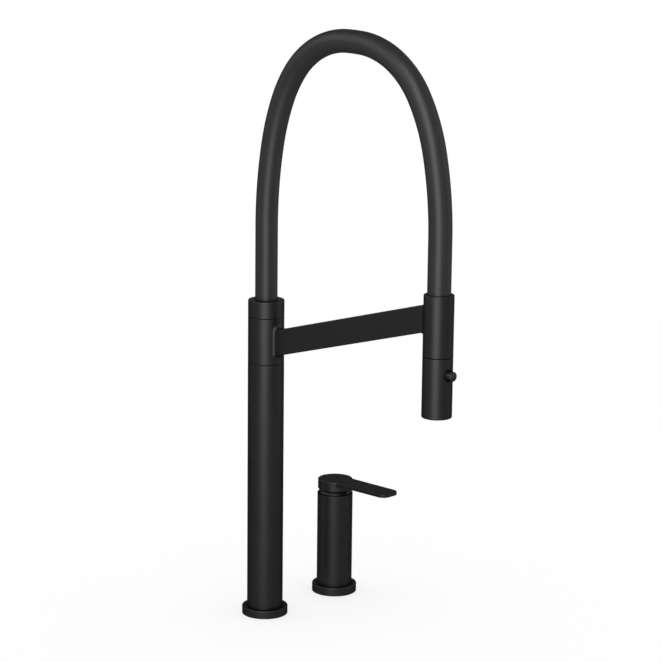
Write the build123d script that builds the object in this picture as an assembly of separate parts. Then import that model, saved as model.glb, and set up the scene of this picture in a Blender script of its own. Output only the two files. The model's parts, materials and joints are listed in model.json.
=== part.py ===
import math
import os

from build123d import *

# Two-hole kitchen tap: a column with a swivelling arm, an arched hose and a docked hand spray,
# and a separate tower with the single lever. Millimetres. +Z is up and z = 0 is the worktop.
# The column stands on the origin, the arm and the lever point along -Y, the tower is at +X.

# Driving dimensions
COLUMN_D = 35.0
COLUMN_WALL = 2.0
FLANGE_D = 44.8
FLANGE_H = 8.0
FLANGE_ROUND = 0.9
TOWER_X = 98.5
TOWER_D = 35.5
TOWER_TOP = 103.3
TOWER_FLANGE_H = 8.6
REACH = 218.2
SLEEVE_D = 34.9
SLEEVE_BOTTOM = 252.9
SLEEVE_TOP = 297.35
COLLAR_TOP = 314.0
SEAM = 0.6
ARM_THICK = 11.0
ARM_DEPTH = 24.5
ARM_ANGLE = 15.55
ARM_ROOT_Z = 269.3
ARM_ROOT_FILLET = 4.0
ARM_TIP_FILLET = 3.0
HOSE_D = 21.5
HOSE_BORE = 14.6
INNER_HOSE_D = 14.0
INNER_HOSE_BORE = 8.9
ARCH_RISE_Z = 384.9  # top of the straight leg on the column's side
ARCH_RISE = ((413.6, 11.0), (214.6, 11.7), (124.4, 14.1))  # radius and turn in degrees, from the leg up
ARCH_FALL_Z = 399.1  # top of the straight leg on the spray's side
ARCH_FALL = ((334.4, 13.1), (161.0, 18.2), (90.4, 54.9))
HOSE_SPLIT_Z = 396.0
SPRAY_D = 27.7
SPRAY_WALL = 1.6
SPRAY_BOTTOM = 237.5
SPRAY_JOINT = 293.6
SPRAY_TOP = 349.6
BUTTON_Z = 277.7
BUTTON_D = 8.9
BUTTON_PROUD = 6.9
BUTTON_DOME_R = 6.2
BUTTON_HOLE_D = 11.4
HUB_D = 34.6
HUB_BOTTOM = 107.5
LEVER_TOP = 117.4
PADDLE_W = 23.2
PADDLE_TIP = 77.0
PADDLE_CORNER = 7.2
PADDLE_ROOT_T = 3.7
PADDLE_TIP_T = 3.3
LIFT_PIVOT_Z = 92.0

# Standard interfaces
FIXING_CORE_D = 26.4  # core of an M28 x 1.5 thread
FIXING_DEPTH = 14.0
TAIL_CORE_D = 8.92  # core of an M10 x 1 thread
TAIL_DEPTH = 9.0
UNION_CORE_D = 14.95  # core of a G3/8 thread
UNION_DEPTH = 13.0

# Clearances
FIT = 0.05  # pieces fixed to each other
RUN = 0.1  # pieces that turn or slide on each other

parts = {}


def keep(name, shape):
    parts[name] = shape


def turned(*points):
    """Solid of revolution about Z from a closed outline of (radius, height) points."""
    outline = Polyline(*[(r, 0, z) for r, z in points], close=True)
    return revolve(make_face(outline), axis=Axis.Z)


def ring(r_out, r_in, z_low, z_high):
    return turned((r_in, z_low), (r_out, z_low), (r_out, z_high), (r_in, z_high))


def rod(radius, z_low, z_high, x=0.0, y=0.0):
    return Pos(x, y, z_low) * extrude(Circle(radius), z_high - z_low)


def rod_y(radius, y_low, y_high, z, x=0.0):
    """Rod along Y."""
    return Pos(x, y_low, z) * Rot(-90, 0, 0) * extrude(Circle(radius), y_high - y_low)


def rod_x(radius, half_length, z):
    """Rod along X, centred on the axis."""
    return Pos(-half_length, 0, z) * Rot(0, 90, 0) * extrude(Circle(radius), 2 * half_length)


def block(x, y, z):
    """Box from three (low, high) pairs."""
    size = [high - low for low, high in (x, y, z)]
    middle = [(low + high) / 2 for low, high in (x, y, z)]
    return Pos(*middle) * Box(*size)


def rims(solid, radius, height):
    """Circular edges of a turned piece at one radius and height."""
    circles = solid.edges().filter_by(GeomType.CIRCLE)
    return [e for e in circles if abs(e.radius - radius) < 0.01 and abs(e.arc_center.Z - height) < 0.01]


def around(radius, count, start=90.0):
    """Evenly spaced (x, y) places on a circle."""
    turns = [math.radians(start + 360.0 * i / count) for i in range(count)]
    return [(radius * math.cos(a), radius * math.sin(a)) for a in turns]


def torus(major, minor, z):
    return Pos(0, 0, z) * Torus(major, minor)


# Base flange, seal and threaded foot, alike under the column and the tower
SEAL_R_IN = 18.7
SEAL_R_OUT = 21.3
SEAL_T = 1.5
LOCATING_LIP = 3.0
JOINT_GAP = 0.45
FOOT_TOP = 22.0


def base_flange(tube_r, height):
    r_out = FLANGE_D / 2
    flange = turned(
        (tube_r + FIT, 0),
        (r_out, 0),
        (r_out, height),
        (tube_r + JOINT_GAP, height),
        (tube_r + JOINT_GAP, LOCATING_LIP),
        (tube_r + FIT, LOCATING_LIP),
    )
    flange -= ring(SEAL_R_OUT + FIT, SEAL_R_IN - FIT, 0, SEAL_T + FIT)
    flange = fillet(rims(flange, r_out, height), FLANGE_ROUND)
    flange = fillet(rims(flange, r_out, 0), 0.4)
    return chamfer(rims(flange, tube_r + JOINT_GAP, height), 0.3)


def base_seal():
    return ring(SEAL_R_OUT, SEAL_R_IN, 0, SEAL_T)


def threaded_foot(tube_bore_r):
    """Ring fixed in the tube's lower end. Its M28 thread takes a hollow fixing shank."""
    core = FIXING_CORE_D / 2
    return turned(
        (core, 0),
        (tube_bore_r - FIT, 0),
        (tube_bore_r - FIT, FOOT_TOP),
        (core + 0.8, FOOT_TOP),
        (core + 0.8, FIXING_DEPTH),
        (core, FIXING_DEPTH),
    )


def column_group():
    r = COLUMN_D / 2
    bore = r - COLUMN_WALL
    top = SLEEVE_BOTTOM - SEAM
    tube = ring(r, bore, 0.6, top)
    keep("column_tube", chamfer(rims(tube, r, top), 0.25))
    keep("column_flange", base_flange(r, FLANGE_H))
    keep("column_base_seal", base_seal())
    keep("column_foot", threaded_foot(bore))


# Water way and swivel joint inside the column's head
RISER_R = 6.0
RISER_BORE_R = 4.5
RISER_BOTTOM = 40.0
SPIGOT_BOTTOM = 228.0
SPIGOT_TOP = 290.5
SPIGOT_R = 13.5
SPIGOT_BORE_R = 4.5
SLEEVE_BORE_R = 14.0
BUSH_R = 14.85
BUSH_TOP = 267.5
BUSH_RIM_R = 16.6
O_RING_Z = (272.0, 278.0)
O_RING_CORD_R = 1.05
O_RING_GROOVE_R = 11.7
LOCK_Z = 285.0
LOCK_GROOVE_R = 11.4
LOCK_GROOVE_HALF = 2.3


def swivel_group():
    top = SLEEVE_BOTTOM - SEAM
    plug_r = COLUMN_D / 2 - COLUMN_WALL - FIT
    seat = SPIGOT_BOTTOM + 8
    spigot = turned(
        (RISER_R + FIT, SPIGOT_BOTTOM),
        (plug_r, SPIGOT_BOTTOM),
        (plug_r, top),
        (SPIGOT_R, top),
        (SPIGOT_R, SPIGOT_TOP - 1),
        (SPIGOT_R - 1, SPIGOT_TOP),
        (SPIGOT_BORE_R, SPIGOT_TOP),
        (SPIGOT_BORE_R, seat),
        (RISER_R + FIT, seat),
    )
    for z in O_RING_Z:
        spigot -= ring(SPIGOT_R + 1, O_RING_GROOVE_R, z - 1.2, z + 1.2)
    spigot -= ring(SPIGOT_R + 1, LOCK_GROOVE_R, LOCK_Z - LOCK_GROOVE_HALF, LOCK_Z + LOCK_GROOVE_HALF)
    keep("swivel_spigot", spigot)

    rings = [torus(O_RING_GROOVE_R + O_RING_CORD_R + FIT, O_RING_CORD_R, z) for z in O_RING_Z]
    keep("swivel_o_rings", Compound(children=rings))

    rim_low, rim_high = top + FIT, SLEEVE_BOTTOM - FIT
    keep(
        "swivel_bush",
        turned(
            (SPIGOT_R + FIT, rim_low),
            (BUSH_RIM_R, rim_low),
            (BUSH_RIM_R, rim_high),
            (BUSH_R, rim_high),
            (BUSH_R, BUSH_TOP),
            (SPIGOT_R + FIT, BUSH_TOP),
        ),
    )
    keep("riser_pipe", ring(RISER_R, RISER_BORE_R, RISER_BOTTOM, seat - FIT))
    keep("column_inlet", inlet_union())


def inlet_union():
    """Hexagonal union with a G3/8 thread that faces down."""
    low = RISER_BOTTOM - UNION_DEPTH - 3
    body = Pos(0, 0, low) * extrude(RegularPolygon(11.0, 6), UNION_DEPTH + 8)
    body -= rod(UNION_CORE_D / 2, low, low + UNION_DEPTH)
    body -= rod(RISER_BORE_R, low, RISER_BOTTOM + 6)
    return body - rod(RISER_R + FIT, RISER_BOTTOM - FIT, RISER_BOTTOM + 6)


# Holder arm: sleeve, slanted bar and cradle in one piece
CRADLE_LAND_R = 14.3  # surface that the tip's fillet runs out on
CRADLE_R = 14.9
PAD_R = 14.15
MAGNET_R = 4.0
MAGNET_T = 5.0
MAGNET_FRONT = 15.0  # flat face of a magnet, from the spray's axis
MAGNET_RISE = 5.6
ARM_EDGE_ROUND = 1.0


def arm_z(y):
    """Height of the arm's middle line."""
    return ARM_ROOT_Z + math.tan(math.radians(ARM_ANGLE)) * -y


def arm_bar():
    half = ARM_DEPTH / 2 / math.cos(math.radians(ARM_ANGLE))
    y_root, y_tip = -9.0, -(REACH - 8.0)
    side = Polyline(
        (0, y_root, arm_z(y_root) - half),
        (0, y_tip, arm_z(y_tip) - half),
        (0, y_tip, arm_z(y_tip) + half),
        (0, y_root, arm_z(y_root) + half),
        close=True,
    )
    bar = extrude(make_face(side), ARM_THICK / 2, both=True, dir=(1, 0, 0))
    along = Vector(0, y_tip - y_root, arm_z(y_tip) - arm_z(y_root)).normalized()
    long_edges = [e for e in bar.edges() if abs(e.tangent_at(0.5).dot(along)) > 0.999]
    return fillet(long_edges, ARM_EDGE_ROUND)


def meeting_edges(solid, radius, y_axis):
    """Edges where the bar runs into the round wall about the axis at y_axis."""
    found = []
    for edge in solid.edges():
        points = [edge.position_at(t) for t in (0.0, 0.25, 0.5, 0.75, 1.0)]
        on_wall = all(abs(math.hypot(p.X, p.Y - y_axis) - radius) < 0.02 for p in points)
        on_bar = all(abs(p.X) < ARM_THICK / 2 + 0.1 for p in points)
        if on_wall and on_bar:
            found.append(edge)
    return found


def holder_arm():
    sleeve_r = SLEEVE_D / 2
    tip = arm_z(-REACH)
    arm = rod(sleeve_r, SLEEVE_BOTTOM, SLEEVE_TOP) + arm_bar()
    arm = fillet(meeting_edges(arm, sleeve_r, 0), ARM_ROOT_FILLET)
    arm += rod(CRADLE_LAND_R, tip - 26, tip + 26, 0, -REACH)
    arm = fillet(meeting_edges(arm, CRADLE_LAND_R, -REACH), ARM_TIP_FILLET)
    arm -= rod(CRADLE_R, tip - 30, tip + 30, 0, -REACH)
    arm -= rod(SLEEVE_BORE_R, SLEEVE_BOTTOM, SLEEVE_TOP)
    arm -= rod(BUSH_R + RUN, SLEEVE_BOTTOM, BUSH_TOP + 0.5)
    arm -= rod_y(2.5, SLEEVE_BORE_R - 1, sleeve_r + 1, LOCK_Z)
    for z in magnet_heights():
        arm -= rod_y(MAGNET_R + FIT, -REACH + 10, -REACH + MAGNET_FRONT + MAGNET_T + FIT, z)
    arm = chamfer(rims(arm, sleeve_r, SLEEVE_BOTTOM), 0.25)
    return chamfer(rims(arm, sleeve_r, SLEEVE_TOP), 0.25)


def magnet_heights():
    middle = arm_z(-REACH + CRADLE_R)
    return (middle - MAGNET_RISE, middle + MAGNET_RISE)


def lock_screw():
    """Grub screw with a hexagon socket and a dog point that runs in the spigot's groove."""
    outer = SLEEVE_D / 2 - 0.6
    screw = rod_y(2.45, SLEEVE_BORE_R + 0.2, outer, LOCK_Z)
    screw += rod_y(1.6, LOCK_GROOVE_R + 0.4, SLEEVE_BORE_R + 0.3, LOCK_Z)
    socket = Pos(0, outer - 1.6, LOCK_Z) * Rot(-90, 0, 0) * extrude(RegularPolygon(1.45, 6), 2)
    return screw - socket


def dock_pad():
    middle = arm_z(-REACH + CRADLE_R)
    pad = ring(CRADLE_R - 0.02, PAD_R, middle - 10, middle + 10)
    pad &= block((-5.2, 5.2), (0, 20), (middle - 10, middle + 10))
    return Pos(0, -REACH, 0) * pad


def arm_group():
    keep("holder_arm", holder_arm())
    keep("swivel_lock_screw", lock_screw())
    keep("dock_pad", dock_pad())
    front = -REACH + MAGNET_FRONT
    magnets = [rod_y(MAGNET_R, front, front + MAGNET_T, z) for z in magnet_heights()]
    keep("dock_magnets", Compound(children=magnets))


# Hose collar and what holds the hose in it
COLLAR_BOTTOM = 291.3
COLLAR_BORE_R = 11.4
COLLAR_SHOULDER = SLEEVE_TOP + 0.45
NIPPLE_FLANGE_TOP = 294.4
FERRULE_TOP = 303.9
BARB_R = 4.35
BARB_BORE_R = 3.0


def barbed(z_low, z_high, count=3):
    """Outline points of barbs up the outside of a tube, each with a sharp lower edge."""
    points = []
    pitch = (z_high - z_low) / (count + 0.5)
    for i in range(count):
        edge = z_low + pitch * (i + 0.5)
        points += [(BARB_R - 0.5, edge), (BARB_R, edge), (BARB_R - 0.5, edge + pitch * 0.7)]
    return points


def hose_nipple():
    top = 314.0
    return turned(
        (BARB_BORE_R, COLLAR_BOTTOM + FIT),
        (COLLAR_BORE_R - FIT, COLLAR_BOTTOM + FIT),
        (COLLAR_BORE_R - FIT, NIPPLE_FLANGE_TOP),
        (BARB_R - 0.5, NIPPLE_FLANGE_TOP),
        *barbed(NIPPLE_FLANGE_TOP, top),
        (BARB_R - 0.8, top),
        (BARB_BORE_R, top),
    )


def collar_group():
    r = SLEEVE_D / 2
    collar = turned(
        (COLLAR_BORE_R, COLLAR_BOTTOM),
        (SLEEVE_BORE_R - FIT, COLLAR_BOTTOM),
        (SLEEVE_BORE_R - FIT, COLLAR_SHOULDER),
        (r, COLLAR_SHOULDER),
        (r, COLLAR_TOP),
        (COLLAR_BORE_R, COLLAR_TOP),
    )
    collar = fillet(rims(collar, r, COLLAR_TOP), 1.0)
    collar = chamfer(rims(collar, COLLAR_BORE_R, COLLAR_TOP), 0.4)
    keep("hose_collar", chamfer(rims(collar, r, COLLAR_SHOULDER), 0.25))
    keep("collar_washer", ring(16.9, SLEEVE_BORE_R + FIT, SLEEVE_TOP + 0.02, COLLAR_SHOULDER - 0.02))
    keep("hose_nipple", hose_nipple())
    grip = INNER_HOSE_D / 2 + FIT
    keep(
        "hose_ferrule",
        turned(
            (grip, NIPPLE_FLANGE_TOP + FIT),
            (grip + 1.3, NIPPLE_FLANGE_TOP + FIT),
            (grip + 1.3, FERRULE_TOP - 1.4),
            (COLLAR_BORE_R - 0.3, FERRULE_TOP - 1.4),
            (COLLAR_BORE_R - 0.3, FERRULE_TOP),
            (grip, FERRULE_TOP),
        ),
    )


# Hose arch: straight legs, long flank arcs, shoulder arcs and a crown, all tangent
def arc_marks(x, z, radius, start, end):
    """Start, middle and end of an arc that leans from start to end degrees off the vertical."""
    marks = []
    for lean in (start, (start + end) / 2, end):
        a, b = math.radians(start), math.radians(lean)
        marks.append((x + radius * (math.cos(a) - math.cos(b)), z + radius * (math.sin(b) - math.sin(a))))
    return marks


def flank(leg_top, turns):
    """Arcs of one side of the arch, with the place and lean where its crown arc begins."""
    x, z, lean = 0.0, leg_top, 0.0
    arcs = []
    for radius, turn in turns:
        arcs.append(arc_marks(x, z, radius, lean, lean + turn))
        x, z = arcs[-1][2]
        lean += turn
    return arcs, (x, z, lean)


def arch_halves():
    """Arcs of both sides, each with its crown arc. The crown arcs meet level at one height."""
    rise, (x1, z1, lean1) = flank(ARCH_RISE_Z, ARCH_RISE)
    fall, (x2, z2, lean2) = flank(ARCH_FALL_Z, ARCH_FALL)
    climb1, climb2 = [(1 - math.sin(a)) / math.cos(a) for a in (math.radians(lean1), math.radians(lean2))]
    crown_x = (z2 - z1 + x1 * climb1 + (REACH - x2) * climb2) / (climb1 + climb2)
    rise.append(arc_marks(x1, z1, (crown_x - x1) / math.cos(math.radians(lean1)), lean1, 90.0))
    fall.append(arc_marks(x2, z2, (REACH - crown_x - x2) / math.cos(math.radians(lean2)), lean2, 90.0))
    return rise, fall


def hose_path(z_start, z_end):
    """Wire from the collar over the arch and down to z_end above the spray."""
    rise, fall = arch_halves()
    edges = [Line((0, 0, z_start), (0, 0, ARCH_RISE_Z))]
    for marks in rise:
        edges.append(ThreePointArc(*[(0, -x, z) for x, z in marks]))
    for marks in reversed(fall):
        edges.append(ThreePointArc(*[(0, x - REACH, z) for x, z in reversed(marks)]))
    edges.append(Line((0, -REACH, ARCH_FALL_Z), (0, -REACH, z_end)))
    return Wire(edges)


def hose(outer_d, bore_d, z_start, z_end):
    path = hose_path(z_start, z_end)
    section = Pos(0, 0, z_start) * (Circle(outer_d / 2) - Circle(bore_d / 2))
    solid = sweep(section, path=path)
    area = math.pi / 4 * (outer_d**2 - bore_d**2)
    print("hose", round(path.length, 1), "mm, volume ratio", round(solid.volume / (area * path.length), 5))
    return solid


HOSE_BOTTOM = 344.2
INNER_HOSE_BOTTOM = 337.65


def hose_group():
    keep("arch_hose", hose(HOSE_D, HOSE_BORE, FERRULE_TOP + FIT, HOSE_SPLIT_Z))
    keep("inner_hose", hose(INNER_HOSE_D, INNER_HOSE_BORE, NIPPLE_FLANGE_TOP + FIT, INNER_HOSE_BOTTOM))
    tail = ring(HOSE_D / 2, HOSE_BORE / 2, HOSE_BOTTOM, HOSE_SPLIT_Z)
    keep("hose_tail", Pos(0, -REACH, 0) * tail)


# Hose end inside the spray's neck: the nipple's collar turns between the core and its nut
NUT_R = 10.6
NUT_BOTTOM = 327.0
NUT_TOP = 344.1
CORE_NECK_R = 7.9
CORE_TOP = 336.0
INLET_BORE_R = 5.2
NIPPLE_COLLAR_R = 7.8


def hose_nut():
    hose_r, neck_r = INNER_HOSE_D / 2 + RUN, CORE_NECK_R + FIT
    nut = turned(
        (neck_r, NUT_BOTTOM),
        (NUT_R, NUT_BOTTOM),
        (NUT_R, NUT_TOP - 4),
        (NUT_R - 1.2, NUT_TOP),
        (hose_r, NUT_TOP),
        (hose_r, INNER_HOSE_BOTTOM),
        (neck_r, INNER_HOSE_BOTTOM),
    )
    keep("hose_nut", spray(nut))


def spray_nipple():
    low, high = CORE_TOP + RUN, INNER_HOSE_BOTTOM - RUN
    nipple = turned(
        (BARB_BORE_R, CORE_TOP - 5),
        (INLET_BORE_R - RUN, CORE_TOP - 5),
        (INLET_BORE_R - RUN, low),
        (NIPPLE_COLLAR_R, low),
        (NIPPLE_COLLAR_R, high),
        (BARB_R - 0.5, high),
        *barbed(high, NUT_TOP + 4),
        (BARB_R - 0.8, NUT_TOP + 4),
        (BARB_BORE_R, NUT_TOP + 4),
    )
    keep("spray_nipple", spray(nipple))


# Hand spray, built about Z and moved out to the reach. The button faces -Y.
SHELL_R = SPRAY_D / 2
SHELL_BORE_R = SHELL_R - SPRAY_WALL
SPRAY_SEAM = 0.5
NECK_HOLE_R = 11.4
MOUTH_R = 11.4
CORE_R = 12.1
CORE_BOTTOM = 262.0
SPOOL_BORE_R = 3.5
SPOOL_R = 3.35
STEM_R = 1.6
POCKET_FLOOR = 9.9  # spring seat, from the spray's axis
POCKET_R = 6.4
SPRAY_OUTLET_Y = 9.0
BUTTON_BACK = 12.9
CAP_ROOF = 2.3
CAP_BORE_R = 3.5
SPRING_R = 3.0
SPRING_WIRE_R = 0.3
SPRING_TURNS = 3.5
SPRING_MARKS = 48  # points a turn that the spring's gap is measured on
SPOOL_SEALS = (-3.8, 3.0)
FACE_LOW = 239.05
FACE_HIGH = 242.5
MAT_HIGH = 244.0
AERATOR_R = 5.5
NOZZLE_RINGS = ((7.6, 10, 90.0), (9.9, 16, 90.0))
NOZZLE_R = 0.65


def spray(shape):
    return Pos(0, -REACH, 0) * shape


def spray_shells():
    low, high = SPRAY_JOINT - SPRAY_SEAM / 2, SPRAY_JOINT + SPRAY_SEAM / 2
    upper = turned(
        (SHELL_BORE_R, high),
        (SHELL_R, high),
        (SHELL_R, SPRAY_TOP),
        (NECK_HOLE_R, SPRAY_TOP),
        (NECK_HOLE_R, SPRAY_TOP - 2.6),
        (SHELL_BORE_R, SPRAY_TOP - 3.4),
    )
    upper = fillet(rims(upper, SHELL_R, SPRAY_TOP), 0.8)
    upper = chamfer(rims(upper, NECK_HOLE_R, SPRAY_TOP), 0.3)
    keep("spray_upper_shell", spray(chamfer(rims(upper, SHELL_R, high), 0.2)))
    lower = turned(
        (MOUTH_R, SPRAY_BOTTOM),
        (SHELL_R, SPRAY_BOTTOM),
        (SHELL_R, low),
        (SHELL_BORE_R, low),
        (SHELL_BORE_R, FACE_LOW - FIT),
        (MOUTH_R, FACE_LOW - FIT),
    )
    lower = fillet(rims(lower, SHELL_R, SPRAY_BOTTOM), 1.0)
    lower = chamfer(rims(lower, MOUTH_R, SPRAY_BOTTOM), 0.4)
    lower = chamfer(rims(lower, SHELL_R, low), 0.2)
    lower -= rod_y(BUTTON_HOLE_D / 2, -SHELL_R - 1, -SHELL_BORE_R + 2, BUTTON_Z)
    keep("spray_lower_shell", spray(lower))
    keep("spray_joint_ring", spray(ring(SHELL_R - 0.5, SHELL_BORE_R + FIT, low + 0.02, high - 0.02)))


def spray_core():
    core = turned(
        (0, CORE_BOTTOM),
        (CORE_R, CORE_BOTTOM),
        (CORE_R, 291.5),
        (9.5, 293.5),
        (9.5, 326.5),
        (CORE_NECK_R, 326.5),
        (CORE_NECK_R, CORE_TOP),
        (0, CORE_TOP),
    )
    core -= rod(INLET_BORE_R, 317.5, CORE_TOP)
    core -= rod(3.4, BUTTON_Z, 318)
    core -= rod_y(SPOOL_BORE_R, -POCKET_FLOOR + 3, CORE_R + 1, BUTTON_Z)
    core -= rod_y(STEM_R + 0.3, -POCKET_FLOOR - 1, 0, BUTTON_Z)
    core -= rod_y(POCKET_R, -CORE_R - 1, -POCKET_FLOOR, BUTTON_Z)
    core -= rod(2.5, CORE_BOTTOM, BUTTON_Z)
    core -= rod(1.4, CORE_BOTTOM, BUTTON_Z, 0, SPRAY_OUTLET_Y)
    return core


def flow_divider():
    """Cup under the core with a ring chamber for the nozzles and a centre seat for the aerator."""
    top = CORE_BOTTOM - 0.1
    body = turned(
        (0, MAT_HIGH + FIT),
        (CORE_R, MAT_HIGH + FIT),
        (CORE_R, top),
        (0, top),
    )
    body -= ring(10.9, 8.3, MAT_HIGH, 257.0)
    body -= rod(AERATOR_R + 1.1, MAT_HIGH, MAT_HIGH + 1.6)
    body -= rod(AERATOR_R + FIT, MAT_HIGH, 252.0)
    body -= rod(2.5, 250.0, top)
    return body - rod(1.4, 256.0, top, 0, SPRAY_OUTLET_Y)


def nozzle_places():
    places = []
    for radius, count, start in NOZZLE_RINGS:
        places += around(radius, count, start)
    return places


def spray_face():
    face = ring(SHELL_BORE_R - FIT, AERATOR_R + FIT, FACE_LOW, FACE_HIGH)
    holes = [rod(NOZZLE_R + RUN, FACE_LOW - 1, FACE_HIGH + 1, x, y) for x, y in nozzle_places()]
    return face - holes


def nozzle_mat():
    mat = ring(SHELL_BORE_R - RUN, AERATOR_R + FIT, FACE_HIGH + FIT, MAT_HIGH)
    tip = SPRAY_BOTTOM + 0.5
    return mat + [rod(NOZZLE_R, tip, FACE_HIGH + 0.3, x, y) for x, y in nozzle_places()]


def aerator():
    """Round insert with a rim that rests on the mat and a honeycomb of jets."""
    low, high = SPRAY_BOTTOM + 1.0, 251.0
    body = turned(
        (0, low),
        (AERATOR_R, low),
        (AERATOR_R, MAT_HIGH + FIT),
        (AERATOR_R + 1.0, MAT_HIGH + FIT),
        (AERATOR_R + 1.0, MAT_HIGH + 1.5),
        (AERATOR_R, MAT_HIGH + 1.5),
        (AERATOR_R, high),
        (0, high),
    )
    body -= rod(AERATOR_R - 1.2, low + 3, high)
    body -= rod(AERATOR_R - 0.8, low, low + 0.6)
    jets = [(0.0, 0.0)] + around(1.55, 6) + around(3.1, 12, 105.0)
    return body - [rod(0.6, low, low + 4, x, y) for x, y in jets]


def spray_group():
    spray_shells()
    keep("spray_core", spray(spray_core()))
    keep("flow_divider", spray(flow_divider()))
    keep("spray_face", spray(spray_face()))
    keep("nozzle_mat", spray(nozzle_mat()))
    keep("aerator", spray(aerator()))
    valve = rod(INLET_BORE_R - FIT, 318.0, 328.0) - rod(2.2, 318.0, 321.0) - rod(3.4, 323.0, 328.0)
    valve -= [rod(0.8, 320.0, 324.0, x, y) for x, y in around(2.3, 4)]
    keep("non_return_valve", spray(valve))
    keep("spool_plug", spray(rod_y(SPOOL_BORE_R - FIT, 10.2, 11.5, BUTTON_Z)))
    plate = ring(SHELL_BORE_R - FIT, NUT_R + 0.35, 312.0, 340.0)
    plate &= block((-5.5, 5.5), (0, 20), (312.0, 340.0))
    keep("dock_plate", spray(plate))


def diverter_group():
    front = SHELL_R + BUTTON_PROUD
    dome_z = front - BUTTON_DOME_R
    dome_edge = dome_z + math.sqrt(BUTTON_DOME_R**2 - (BUTTON_D / 2) ** 2)
    cap = rod(BUTTON_D / 2, BUTTON_BACK, front) & Pos(0, 0, dome_z) * Sphere(BUTTON_DOME_R)
    cap = fillet(rims(cap, BUTTON_D / 2, dome_edge), 0.8)
    cap -= rod(CAP_BORE_R, BUTTON_BACK, front - CAP_ROOF)
    cap -= rod(STEM_R + FIT, BUTTON_BACK, front - CAP_ROOF + 1)
    facing = Pos(0, 0, BUTTON_Z) * Rot(90, 0, 0)
    keep("diverter_button", spray(facing * cap))
    stem = rod(STEM_R, 4.0, front - CAP_ROOF + 0.9) + rod(SPOOL_R, -6.0, 4.6)
    stem -= ring(SPOOL_R + 1, 1.9, -2.0, 1.2)
    for z in SPOOL_SEALS:
        stem -= ring(SPOOL_R + 1, 2.2, z - 0.6, z + 0.6)
    keep("diverter_spool", spray(facing * stem))
    rings = [torus(2.8, 0.5, z) for z in SPOOL_SEALS]
    keep("spool_o_rings", spray(facing * Compound(children=rings)))
    keep("button_spring", spray(facing * button_spring()))


def button_spring():
    """Open coil spring between the core's pocket and the button's cap, as one unbroken wire."""
    low, high = POCKET_FLOOR + SPRING_WIRE_R + 0.05, SHELL_R + BUTTON_PROUD - CAP_ROOF - SPRING_WIRE_R - 0.05
    pitch = (high - low) / SPRING_TURNS
    path = Wire(helix_arcs(SPRING_R, low, pitch, SPRING_TURNS))
    print("button spring gap", round(coil_gap(path), 2), "mm")
    start = Plane(origin=path @ 0, z_dir=path % 0)
    return sweep(start * Circle(SPRING_WIRE_R), path=path)


def coil_gap(path):
    """Least gap of the spring's wire to itself, measured between points at least half a turn apart."""
    count = round(SPRING_MARKS * SPRING_TURNS)
    marks = [path @ (i / count) for i in range(count + 1)]
    far = SPRING_MARKS // 2
    return min((a - b).length for i, a in enumerate(marks) for b in marks[i + far:]) - 2 * SPRING_WIRE_R


def helix_arcs(radius, z_low, pitch, turns):
    """Pairs of tangent arcs, one pair for each quarter turn of a helix."""
    arcs = []
    rise = pitch / (2 * math.pi)
    for i in range(round(turns * 4)):
        ends = []
        for angle in (i * math.pi / 2, (i + 1) * math.pi / 2):
            c, s = math.cos(angle), math.sin(angle)
            place = Vector(radius * c, radius * s, z_low + rise * angle)
            ends.append((place, Vector(-radius * s, radius * c, rise).normalized()))
        (a, ta), (b, tb) = ends
        chord, both, bend = b - a, ta + tb, 2 * (1 - ta.dot(tb))
        reach = (math.sqrt(chord.dot(both) ** 2 + bend * chord.dot(chord)) - chord.dot(both)) / bend
        middle = (a + b + (ta - tb) * reach) * 0.5
        first = TangentArc(a, middle, tangent=ta)
        arcs += [first, TangentArc(middle, b, tangent=first % 1)]
    return arcs


# Lever tower
PORT_BOTTOM = 46.0
PORT_TOP = 58.0
PORT_R = 6.0
PORT_NECK_R = 3.4
BLOCK_BOTTOM = 55.0
BLOCK_TOP = 98.0
SEAT_Z = 60.0
SEAT_R = 14.05
PORT_CIRCLE_R = 8.3
PORT_TURN = 210.0
WAY_R = 2.2
WAY_CIRCLE_R = 5.4
CARTRIDGE_R = 14.0
HOUSING_BORE_R = 12.4
BASE_TOP = 68.8
DISC_Z = 69.95
DISC_JOINT = 74.0
CARRIER_Z = 78.0
CARRIER_TOP = 85.0
ROTOR_Z = 85.6
HOUSING_TOP = 95.0
NUT_HEX_TOP = 101.0
NECK_R = 8.8
DOME_R = 20.6
DOME_WALL = 1.2
DOME_LOW = 104.1
DOME_HOLE_R = 12.6


def tower(shape):
    return Pos(TOWER_X, 0, 0) * shape


def tower_case():
    r = TOWER_D / 2
    bore = COLUMN_D / 2 - COLUMN_WALL
    shell = ring(r, bore, 0.6, TOWER_TOP)
    keep("tower_shell", tower(fillet(rims(shell, r, TOWER_TOP), 0.4)))
    keep("tower_flange", tower(base_flange(r, TOWER_FLANGE_H)))
    keep("tower_base_seal", tower(base_seal()))
    keep("tower_foot", tower(threaded_foot(bore)))


def valve_block():
    body = rod(COLUMN_D / 2 - COLUMN_WALL - FIT, BLOCK_BOTTOM, BLOCK_TOP)
    body -= rod(SEAT_R, SEAT_Z, BLOCK_TOP)
    body -= [rod(PORT_R + FIT, BLOCK_BOTTOM, PORT_TOP, x, y) for x, y in port_places()]
    return body - [rod(WAY_R, PORT_TOP - 1, SEAT_Z, x, y) for x, y in water_ways()]


def port_sleeves():
    """Sleeves pressed into the block's underside. Their M10 threads take the flexible tails."""
    core_r, neck_z = TAIL_CORE_D / 2, PORT_BOTTOM + TAIL_DEPTH
    sleeve = turned(
        (core_r, PORT_BOTTOM),
        (PORT_R, PORT_BOTTOM),
        (PORT_R, PORT_TOP),
        (PORT_NECK_R, PORT_TOP),
        (PORT_NECK_R, neck_z),
        (core_r, neck_z),
    )
    return Compound(children=[Pos(x, y, 0) * sleeve for x, y in port_places()])


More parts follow.
